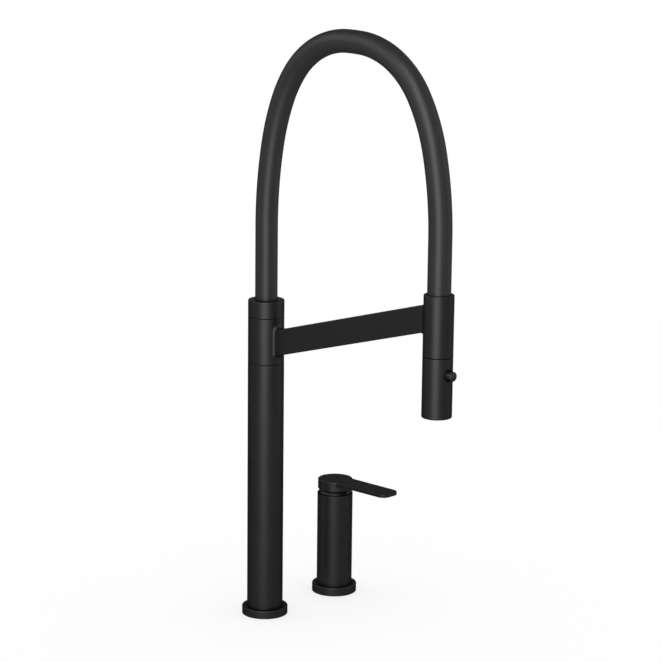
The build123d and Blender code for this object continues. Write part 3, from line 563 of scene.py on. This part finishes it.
def turned_brass(axis):
    """Effect, values, relief and centre of brass turned about an axis."""
    values = {"Pitch": 0.35 * MM, "Colour": (0.62, 0.42, 0.16, 1.0), "Colour Change": 0.22,
              "Roughness": 0.3, "Roughness Change": 0.2}
    return tool_marks(), values, 0.01 * MM, (axis.x, axis.y, 0)


class TAP_OT_rubber_and_ceramic(bpy.types.Operator):
    """Seals, and the cartridge's ground ceramic discs"""

    bl_idname = "tap.rubber_and_ceramic"
    bl_label = "Seals and ceramic"

    def execute(self, context):
        rubber = {"Grain Size": 0.3 * MM, "Peel Size": 1.2 * MM, "Colour": (0.01, 0.01, 0.01, 1.0),
                  "Roughness": 0.72, "Roughness Change": 0.08}
        dress(SEALS, "sealing rubber", grain_and_painted_shade(), rubber, 0.01 * MM)
        disc = {"Grain Size": 0.15 * MM, "Peel Size": 2.0 * MM, "Colour": (0.86, 0.84, 0.79, 1.0),
                "Colour Change": 0.02, "Roughness": 0.14, "Roughness Change": 0.04}
        dress(CERAMIC, "ground ceramic", grain_and_painted_shade(), disc, 0.001 * MM)
        return {"FINISHED"}


# Carriers that geometry trees grow on
def linked(name, data):
    """New object in the scene."""
    made = bpy.data.objects.new(name, data)
    bpy.context.scene.collection.objects.link(made)
    return made


def path_object(name, points):
    """Curve through points."""
    curve = bpy.data.curves.new(name, "CURVE")
    curve.dimensions = "3D"
    spline = curve.splines.new("POLY")
    spline.points.add(len(points) - 1)
    for point, place in zip(spline.points, points):
        point.co = (*place, 1.0)
    return linked(name, curve)


def points_object(name, places):
    """Mesh of loose points."""
    mesh = bpy.data.meshes.new(name)
    mesh.from_pydata(places, [], [])
    return linked(name, mesh)


def grow(name, carrier, tree, **values):
    """Runs a geometry tree on a carrier object and keeps the result as a plain mesh."""
    modifier = carrier.modifiers.new(tree.name, "NODES")
    modifier.node_group = tree
    for item in tree.interface.items_tree:
        label = item.name.replace(" ", "_").lower()
        if item.in_out == "INPUT" and label in values:
            modifier[item.identifier] = values[label]
    bpy.context.view_layer.update()
    evaluated = carrier.evaluated_get(bpy.context.evaluated_depsgraph_get())
    mesh = bpy.data.meshes.new_from_object(evaluated)
    mesh.name = name
    made = linked(name, mesh)
    bpy.data.objects.remove(carrier)
    return made


def finish_tree(tree, geometry, material, out):
    """Last nodes of each geometry tree: real geometry, in its material."""
    real = add(tree, "GeometryNodeRealizeInstances", Geometry=geometry)
    dressed = add(tree, "GeometryNodeSetMaterial", Geometry=real.outputs["Geometry"],
                  Material=material)
    give(tree, out, Geometry=dressed.outputs["Geometry"])


# Route of the hose
def arc_points(x, z, radius, start, end, step):
    """Points along an arc that leans from start to end off the vertical, without its first."""
    count = max(2, round(radius * (end - start) / step))
    points = []
    for i in range(1, count + 1):
        lean = start + (end - start) * i / count
        points.append((
            x + radius * (math.cos(start) - math.cos(lean)),
            z + radius * (math.sin(lean) - math.sin(start)),
        ))
    return points


def flank(leg_top, radii, turns, step):
    """Points of one side's arcs, from the leg's top, and the lean where the crown arc begins."""
    points, lean = [(0.0, leg_top)], 0.0
    for radius, turn in zip(radii, turns):
        points += arc_points(*points[-1], radius, lean, lean + turn, step)
        lean += turn
    return points, lean


def arch_sides(sizes, reach):
    """Points (distance from the leg, height) of both sides to the crown, where they meet level."""
    rise, lean1 = flank(sizes.rise_top, sizes.rise_radii, sizes.rise_turns, sizes.step)
    fall, lean2 = flank(sizes.fall_top, sizes.fall_radii, sizes.fall_turns, sizes.step)
    (x1, z1), (x2, z2) = rise[-1], fall[-1]
    climb1, climb2 = [(1 - math.sin(a)) / math.cos(a) for a in (lean1, lean2)]
    crown = (z2 - z1 + x1 * climb1 + (reach - x2) * climb2) / (climb1 + climb2)
    radius1, radius2 = (crown - x1) / math.cos(lean1), (reach - crown - x2) / math.cos(lean2)
    rise += arc_points(x1, z1, radius1, lean1, math.pi / 2, sizes.step)
    fall += arc_points(x2, z2, radius2, lean2, math.pi / 2, sizes.step)
    # A short level stretch, so that both end rings stand upright and meet without a line
    for side in (rise, fall):
        side.insert(-1, (side[-1][0] - CROWN_LEVEL, side[-1][1]))
    return rise, fall


def straight(start, end, step):
    """Points up a leg, without its last point."""
    count = max(2, round(abs(end - start) / step))
    return [(0.0, start + (end - start) * i / count) for i in range(count)]


def hose_routes(sizes, low_start, low_end):
    """Middle lines of a hose's halves: from the column to the crown, and on down to the spray."""
    rise, fall = arch_sides(sizes, COLUMN.y - SPRAY.y)
    up = straight(low_start, sizes.rise_top, sizes.step) + rise
    down = straight(low_end, sizes.fall_top, sizes.step) + fall
    rising = [(COLUMN.x, COLUMN.y - x, z) for x, z in up]
    falling = [(SPRAY.x, SPRAY.y + x, z) for x, z in reversed(down)]
    return rising, falling


def at_point(tree, curve, field, kind, index):
    """Value of a field at one of a curve's points."""
    taken = add(tree, "GeometryNodeSampleIndex", data_type=kind, domain="POINT", Geometry=curve,
                Value=field, Index=index)
    return taken.outputs["Value"]


@built_once
def hollow_tube(name):
    """Wall of a hose along a curve at constant X: outside, ends and bore in one skin."""
    tree, take, out = geometry_group(name, {
        "Outer Radius": 0.01,
        "Bore Radius": 0.007,
        "Rings": 100,
        "Sides": 48,
    })
    calc, aim = partial(math_node, tree), partial(vector_node, tree)
    curve, rings, outer = take["Geometry"], take["Rings"], take["Outer Radius"]
    # A flat grid has a column for each ring outside, then one for each inside, then the first again
    grid = add(tree, "GeometryNodeMeshGrid", Size_X=1.0, Size_Y=1.0,
               Vertices_X=calc("MULTIPLY_ADD", rings, 2.0, 1.0),
               Vertices_Y=calc("ADD", take["Sides"], 1.0))
    here = add(tree, "GeometryNodeInputPosition").outputs[0]
    parts = add(tree, "ShaderNodeSeparateXYZ", Vector=here)
    around = calc("MULTIPLY", rings, 2.0)
    loop = calc("MULTIPLY", calc("ADD", parts.outputs["X"], 0.5), around)
    column = calc("MODULO", calc("ROUND", loop), around)
    inside = calc("GREATER_THAN", column, calc("SUBTRACT", rings, 0.5))
    back = calc("SUBTRACT", calc("MULTIPLY_ADD", rings, 2.0, -1.0), column)
    ring = calc("ADD", calc("MULTIPLY", column, calc("SUBTRACT", 1.0, inside)),
                calc("MULTIPLY", back, inside))
    wall = calc("SUBTRACT", take["Bore Radius"], outer)
    radius = calc("MULTIPLY_ADD", inside, wall, outer)
    angle = calc("MULTIPLY", calc("ADD", parts.outputs["Y"], 0.5), 2 * math.pi)
    direction = add(tree, "GeometryNodeInputTangent").outputs[0]
    run = add(tree, "GeometryNodeSplineParameter").outputs["Length"]
    centre = at_point(tree, curve, here, "FLOAT_VECTOR", ring)
    tangent = at_point(tree, curve, direction, "FLOAT_VECTOR", ring)
    along = at_point(tree, curve, run, "FLOAT", ring)
    sideways = (1.0, 0.0, 0.0)
    up = aim("CROSS_PRODUCT", tangent, sideways)
    across = aim("SCALE", up, scale=calc("SINE", angle))
    beside = aim("SCALE", sideways, scale=calc("COSINE", angle))
    offset = aim("SCALE", aim("ADD", across, beside), scale=radius)
    uv = add(tree, "ShaderNodeCombineXYZ", X=calc("MULTIPLY", angle, radius), Y=along, Z=inside)
    kept = add(tree, "GeometryNodeCaptureAttribute", domain="POINT")
    kept.capture_items.new("FLOAT", "Bore side")
    feed(tree, grid.outputs["Mesh"], kept.inputs[0])
    feed(tree, inside, kept.inputs[1])
    mapped = add(tree, "GeometryNodeStoreNamedAttribute", data_type="FLOAT2", domain="CORNER",
                 Geometry=kept.outputs[0], Name="UVMap", Value=uv.outputs[0])
    moved = add(tree, "GeometryNodeSetPosition", Geometry=mapped.outputs["Geometry"],
                Position=aim("ADD", centre, offset))
    merged = add(tree, "GeometryNodeMergeByDistance", Geometry=moved.outputs["Geometry"],
                 Distance=SAME_SPOT)
    flipped = add(tree, "GeometryNodeFlipFaces", Mesh=merged.outputs["Geometry"])
    # End faces have corners on both sides of the wall, and stay flat
    one_side = calc("ABSOLUTE", calc("SUBTRACT", kept.outputs[1], 0.5))
    smooth = add(tree, "GeometryNodeSetShadeSmooth", Geometry=flipped.outputs["Mesh"],
                 Selection=calc("GREATER_THAN", one_side, 0.25))
    finish_tree(tree, smooth.outputs["Geometry"], take["Material"], out)


def hose_half(name, points, outer, bore, sizes, material):
    """Half of a hose along its middle line."""
    carrier = path_object(name + " path", points)
    return grow(name, carrier, hollow_tube(), outer_radius=outer, bore_radius=bore,
                rings=len(points), sides=sizes.sides, material=material)


class TAP_OT_outer_hose(bpy.types.Operator):
    """Silicone hose: its rise rides with the arm, and its fall stays in place"""

    bl_idname = "tap.outer_hose"
    bl_label = "Outer hose"

    def execute(self, context):
        sizes, look = context.scene.tap_hose, context.scene.tap_look
        values = {
            "Grain Size": 0.5 * MM, "Peel Size": 5.0 * MM, "Colour": (*look.hose, 1.0),
            "Colour Change": 0.08, "Roughness": look.hose_roughness, "Roughness Change": 0.05,
        }
        material = finish_material(
            "silicone hose", grain_and_painted_shade(), values, 0.006 * MM, Metallic=0.48,
            Specular_IOR_Level=0.0, Specular_Tint=(look.edge_sheen,) * 3 + (1.0,))
        rising, falling = hose_routes(sizes, HOSE_START, HOSE_END)
        section = (HOSE_RADIUS, sizes.outer_bore / 2, sizes, material)
        rise = hose_half("outer_hose_rise", rising, *section)
        fall = hose_half("outer_hose_fall", falling, *section)
        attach(rise, "spout")
        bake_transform(fall)
        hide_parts("arch_hose")
        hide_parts("arch_hose", "hose_tail")
        return {"FINISHED"}


class TAP_OT_inner_hose(bpy.types.Operator):
    """Water hose inside the silicone hose"""

    bl_idname = "tap.inner_hose"
    bl_label = "Inner hose"

    def execute(self, context):
        sizes = context.scene.tap_hose
        values = {"Grain Size": 0.6 * MM, "Peel Size": 6.0 * MM, "Colour": (0.4, 0.45, 0.5, 1.0),
                  "Colour Change": 0.04, "Roughness": 0.4, "Roughness Change": 0.05}
        material = finish_material("water hose", grain_and_painted_shade(), values, 0.008 * MM)
        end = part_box("hose_nut")[1].z - INNER_END_DEPTH
        rising, falling = hose_routes(sizes, INNER_START, end)
        section = (INNER_RADIUS, sizes.inner_bore / 2, sizes, material)
        rise = hose_half("inner_hose_rise", rising, *section)
        fall = hose_half("inner_hose_fall", falling, *section)
        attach(rise, "spout")
        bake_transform(fall)
        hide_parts("inner_hose")
        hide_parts("inner_hose")
        return {"FINISHED"}


# Small parts of the spray and the threads
def upright_curve(tree, curve):
    """A curve whose section keeps level while it is swept."""
    return add(tree, "GeometryNodeSetCurveNormal", mode="Z_UP", Curve=curve).outputs[0]


def turned_ring(tree, radius, corners, sides):
    """Ring turned from four corners, each (distance out from the radius, depth below the top)."""
    path = add(tree, "GeometryNodeCurvePrimitiveCircle", Resolution=sides, Radius=radius)
    section = add(tree, "GeometryNodeCurvePrimitiveQuadrilateral", mode="POINTS")
    for i, (beside, below) in enumerate(corners):
        corner = add(tree, "ShaderNodeCombineXYZ", X=beside, Y=below)
        feed(tree, corner.outputs[0], section.inputs["Point " + str(i + 1)])
    body = add(tree, "GeometryNodeCurveToMesh", Curve=upright_curve(tree, path.outputs["Curve"]),
               Profile_Curve=section.outputs["Curve"])
    return body.outputs["Mesh"]


@built_once
def soft_nozzles(name):
    """Tapered soft nozzles with their bores at the carrier's points, and the mat they stand on."""
    tree, take, out = geometry_group(name, {
        "Root Radius": 0.0006,
        "Tip Radius": 0.0005,
        "Bore Radius": 0.0003,
        "Length": 0.003,
        "Mat Radius": 0.012,
        "Mat Bore": 0.005,
        "Mat Thickness": 0.001,
        "Mat Centre": VECTOR,
    })
    calc = partial(math_node, tree)
    bore, length = take["Bore Radius"], take["Length"]
    root = calc("SUBTRACT", take["Root Radius"], bore)
    tip = calc("SUBTRACT", take["Tip Radius"], bore)
    corners = ((0.0, 0.0), (root, 0.0), (tip, length), (0.0, length))
    nozzle = turned_ring(tree, bore, corners, NOZZLE_SIDES)
    placed = add(tree, "GeometryNodeInstanceOnPoints", Points=take["Geometry"], Instance=nozzle)
    wide = calc("SUBTRACT", take["Mat Radius"], take["Mat Bore"])
    thick = calc("MULTIPLY", take["Mat Thickness"], -1.0)
    corners = ((0.0, thick), (wide, thick), (wide, 0.0), (0.0, 0.0))
    mat = turned_ring(tree, take["Mat Bore"], corners, MAT_SIDES)
    moved = add(tree, "GeometryNodeTransform", Geometry=mat, Translation=take["Mat Centre"])
    both = add(tree, "GeometryNodeJoinGeometry")
    feed(tree, placed.outputs["Instances"], both.inputs[0])
    feed(tree, moved.outputs["Geometry"], both.inputs[0])
    finish_tree(tree, both.outputs[0], take["Material"], out)


class TAP_OT_nozzles(bpy.types.Operator):
    """Soft spray nozzles with their bores"""

    bl_idname = "tap.nozzles"
    bl_label = "Nozzles"

    def execute(self, context):
        values = {"Grain Size": 0.2 * MM, "Peel Size": 1.0 * MM, "Roughness": 0.6,
                  "Colour": (0.045, 0.045, 0.047, 1.0), "Colour Change": 0.1,
                  "Roughness Change": 0.05}
        silicone = finish_material(
            "soft nozzle silicone", grain_and_painted_shade(), values, 0.006 * MM, Specular_IOR_Level=0.25)
        low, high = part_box("nozzle_mat")
        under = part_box("spray_face")[1].z + MAT_GAP
        centre = Vector((SPRAY.x, SPRAY.y, under))
        places = []
        for radius, count in NOZZLE_RINGS:
            for i in range(count):
                turn = math.pi / 2 + 2 * math.pi * i / count
                places.append(centre + Vector((math.cos(turn), math.sin(turn), 0.0)) * radius)
        made = grow(
            "soft_nozzles", points_object("nozzle places", places), soft_nozzles(),
            root_radius=NOZZLE_ROOT, tip_radius=NOZZLE_TIP, bore_radius=NOZZLE_BORE,
            length=under - low.z, mat_radius=(high.x - low.x) / 2, mat_bore=MAT_BORE,
            mat_thickness=high.z - under, mat_centre=centre, material=silicone)
        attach(made, "spray")
        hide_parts("nozzle_mat")
        return {"FINISHED"}


class TAP_OT_spring(bpy.types.Operator):
    """Button spring, remade as one smooth mesh that rides with the spray"""

    bl_idname = "tap.spring"
    bl_label = "Button spring"

    def execute(self, context):
        skin = bmesh.new()
        skin.from_mesh(NODES["button_spring"].data)
        bmesh.ops.remove_doubles(skin, verts=skin.verts, dist=SAME_SPOT)
        mesh = bpy.data.meshes.new("coil_spring")
        skin.to_mesh(mesh)
        skin.free()
        mesh.shade_smooth()
        # Painted shade: the spring takes the dark steel colour, so the gap round the button reads
        # dark
        values = {"Pitch": 0.2 * MM, "Colour": BLACKENED_STEEL_AND_PAINTED_SHADE_COLOUR, "Roughness": 0.3}
        mesh.materials.clear()
        mesh.materials.append(
            finish_material("spring wire darkened as painted shade", tool_marks(), values, 0.002 * MM, Metallic=1.0))
        spring = linked("coil_spring", mesh)
        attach(spring, "spray")
        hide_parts("button_spring")
        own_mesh(spring)
        return {"FINISHED"}


@built_once
def inner_thread(name):
    """Ridge of an internal thread, wound once per pitch up a bore from each carrier point."""
    tree, take, out = geometry_group(name, {
        "Bore Radius": 0.01,
        "Pitch": 0.001,
        "Length": 0.01,
        "Depth": 0.0003,
        "Steps": 48.0,
    })
    calc = partial(math_node, tree)
    depth, pitch = take["Depth"], take["Pitch"]
    radius = calc("MULTIPLY_ADD", depth, 0.5, take["Bore Radius"])
    run = calc("SUBTRACT", take["Length"], calc("MULTIPLY", pitch, 2.0))
    helix = add(tree, "GeometryNodeCurveSpiral", Resolution=calc("ROUND", take["Steps"]),
                Rotations=calc("DIVIDE", run, pitch), Start_Radius=radius, End_Radius=radius,
                Height=run, Reverse=True)
    triangle = add(tree, "GeometryNodeCurvePrimitiveCircle", Resolution=3,
                   Radius=calc("MULTIPLY", depth, 1.5))
    section = add(tree, "GeometryNodeTransform", Geometry=triangle.outputs["Curve"],
                  Rotation=(0.0, 0.0, math.pi), Scale=(1.0, 1.8, 1.0))
    ridge = add(tree, "GeometryNodeCurveToMesh", Curve=upright_curve(tree, helix.outputs["Curve"]),
                Profile_Curve=section.outputs["Geometry"], Fill_Caps=True)
    lift = add(tree, "ShaderNodeCombineXYZ", Z=pitch)
    lifted = add(tree, "GeometryNodeTransform", Geometry=ridge.outputs["Mesh"],
                 Translation=lift.outputs[0])
    placed = add(tree, "GeometryNodeInstanceOnPoints", Points=take["Geometry"],
                 Instance=lifted.outputs["Geometry"])
    finish_tree(tree, placed.outputs["Instances"], take["Material"], out)


class TAP_OT_threads(bpy.types.Operator):
    """Threads in the feet, the union and the tail sleeves"""

    bl_idname = "tap.threads"
    bl_label = "Threads"

    def execute(self, context):
        brass = finish_material("cut brass", *turned_brass(COLUMN), Metallic=1.0)
        bores = [m for m in frame["record"]["mounts"] if m["kind"] == "threaded_hole"]
        for least, pitch, name in THREADS:
            alike = [m for m in bores if m["dims"]["r_mm"] * MM > least]
            bores = [m for m in bores if m not in alike]
            dims = alike[0]["dims"]
            places = points_object(name + " places", [m["pos_m"] for m in alike])
            made = grow(
                name, places, inner_thread(), bore_radius=dims["r_mm"] * MM, pitch=pitch,
                length=dims["length_mm"] * MM, depth=THREAD_DEPTH * pitch, material=brass)
            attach(made, "base")
        return {"FINISHED"}


# Studio
def seen_rays(tree):
    """1 for rays from the camera, or by way of a shiny or clear surface, and 0 for the rest."""
    calc, rays = partial(math_node, tree), add(tree, "ShaderNodeLightPath").outputs
    return calc("MAXIMUM", rays["Is Camera Ray"],
                calc("MAXIMUM", rays["Is Glossy Ray"], rays["Is Transmission Ray"]))


def mix(tree, factor, first, second):
    """Output of a Mix Shader node."""
    node = add(tree, "ShaderNodeMixShader")
    for socket, value in zip(node.inputs, (factor, first, second)):
        feed(tree, value, socket)
    return node.outputs[0]


def floor_material():
    """White floor that keeps a faint shadow, and is clear from below."""
    material = bpy.data.materials.new("studio floor")
    material.use_nodes = True
    tree = material.node_tree
    shader = tree.nodes["Principled BSDF"]
    shader.inputs["Base Color"].default_value = (1.0, 1.0, 1.0, 1.0)
    shader.inputs["Roughness"].default_value = 1.0
    shader.inputs["Specular IOR Level"].default_value = 0.0
    lit = add(tree, "ShaderNodeEmission").outputs[0]
    share = math_node(tree, "MULTIPLY", seen_rays(tree), FLOOR_WHITE)
    lifted = mix(tree, share, shader.outputs[0], lit)
    below = add(tree, "ShaderNodeNewGeometry").outputs["Backfacing"]
    clear = add(tree, "ShaderNodeBsdfTransparent").outputs[0]
    give(tree, tree.nodes["Material Output"], Surface=mix(tree, below, lifted, clear))
    return material


def area_lamp(name, place, target, size, power):
    """Rectangular lamp that faces the target and adds only gloss."""
    data = bpy.data.lights.new(name, "AREA")
    data.shape = "RECTANGLE"
    data.size, data.size_y = size
    data.energy = power
    lamp = linked(name, data)
    lamp.visible_camera = False
    lamp.visible_diffuse = False
    lamp.location = place
    lamp.rotation_euler = (Vector(target) - Vector(place)).to_track_quat("-Z", "Y").to_euler()


def view_axes(studio):
    """Unit vectors of the solved camera: along the view, to the right and up."""
    a, e, roll = studio.azimuth, studio.elevation, studio.roll
    along = Vector((math.cos(e) * math.cos(a), math.cos(e) * math.sin(a), -math.sin(e)))
    level = Vector((math.sin(a), -math.cos(a), 0.0))
    upright = level.cross(along)
    right = level * math.cos(roll) + upright * math.sin(roll)
    up = upright * math.cos(roll) - level * math.sin(roll)
    return along, right, up


class TAP_OT_camera(bpy.types.Operator):
    """Camera at the photograph's place, with its lens"""

    bl_idname = "tap.camera"
    bl_label = "Camera"

    def execute(self, context):
        studio = context.scene.tap_studio
        along, right, up = view_axes(studio)
        scale = studio.distance / studio.focal_px
        half = studio.frame_px / 2
        sideways = (studio.foot_px[0] - half) * scale
        upward = (half - studio.foot_px[1]) * scale
        data = bpy.data.cameras.new("camera")
        data.sensor_width = 36.0
        data.lens = data.sensor_width * studio.focal_px / studio.frame_px
        camera = linked("camera", data)
        turn = Matrix((right, up, -along)).transposed()
        place = -(along * studio.distance + right * sideways + up * upward)
        camera.matrix_world = Matrix.Translation(place) @ turn.to_4x4()
        context.scene.camera = camera
        return {"FINISHED"}


class TAP_OT_stage(bpy.types.Operator):
    """White floor and surroundings, and the lamps"""

    bl_idname = "tap.stage"
    bl_label = "Floor and lamps"

    def execute(self, context):
        scene = context.scene
        mesh = bpy.data.meshes.new("floor")
        corners = [(x * FLOOR_HALF, y * FLOOR_HALF, FLOOR_HEIGHT)
                   for x, y in ((-1, -1), (1, -1), (1, 1), (-1, 1))]
        mesh.from_pydata(corners, [], [(0, 1, 2, 3)])
        mesh.materials.append(floor_material())
        floor = linked("floor", mesh)
        world = bpy.data.worlds.new("studio")
        scene.world = world
        world.use_nodes = True
        tree = world.node_tree
        around = tree.nodes["Background"]
        seen = add(tree, "ShaderNodeBackground")
        for background in (around, seen):
            background.inputs["Color"].default_value = (1.0, 1.0, 1.0, 1.0)
            background.inputs["Strength"].default_value = 1.0
        give(tree, tree.nodes["World Output"],
             Surface=mix(tree, seen_rays(tree), around.outputs[0], seen.outputs[0]))
        studio = scene.tap_studio
        for name, round_to, away, width, low, high, share in SOFTBOXES:
            turn = studio.azimuth + math.pi + math.radians(round_to)
            foot = Vector((math.cos(turn), math.sin(turn), 0.0)) * away
            middle = Vector((0.0, 0.0, (low + high) / 2))
            area_lamp(name, foot + middle, middle, (width, high - low),
                      studio.softbox_level * share * math.pi * width * (high - low))
        scene.view_settings.view_transform = "Standard"
        return {"FINISHED"}


class TAP_PT_panel(bpy.types.Panel):
    """Steps that dress the tap, with their sizes and colours"""

    bl_idname = "TAP_PT_panel"
    bl_label = "Kitchen tap"
    bl_space_type = "VIEW_3D"
    bl_region_type = "UI"
    bl_category = "Tap"

    def draw(self, context):
        for group in GROUPS:
            box = self.layout.box()
            settings = getattr(context.scene, group)
            for name in settings.__annotations__:
                box.prop(settings, name)
        for operator in STEPS:
            self.layout.operator(operator.bl_idname)


STEPS = (
    TAP_OT_coating, TAP_OT_plastics, TAP_OT_metals, TAP_OT_rubber_and_ceramic, TAP_OT_outer_hose,
    TAP_OT_inner_hose, TAP_OT_nozzles, TAP_OT_spring, TAP_OT_threads, TAP_OT_camera, TAP_OT_stage,
)
GROUPS = {"tap_hose": TapHoseSizes, "tap_look": TapCoatLook, "tap_studio": TapStudio}


def register():
    for made in (*GROUPS.values(), *STEPS, TAP_PT_panel):
        bpy.utils.register_class(made)
    for name, group in GROUPS.items():
        setattr(bpy.types.Scene, name, bpy.props.PointerProperty(type=group))


def unregister():
    for name in GROUPS:
        delattr(bpy.types.Scene, name)
    for made in (TAP_PT_panel, *reversed(STEPS), *reversed(GROUPS.values())):
        bpy.utils.unregister_class(made)


def main():
    register()
    for operator in STEPS:
        family, step = operator.bl_idname.split(".")
        if getattr(getattr(bpy.ops, family), step)() != {"FINISHED"}:
            raise RuntimeError(f"{operator.bl_label} did not finish")


if __name__ == "__main__":
    main()
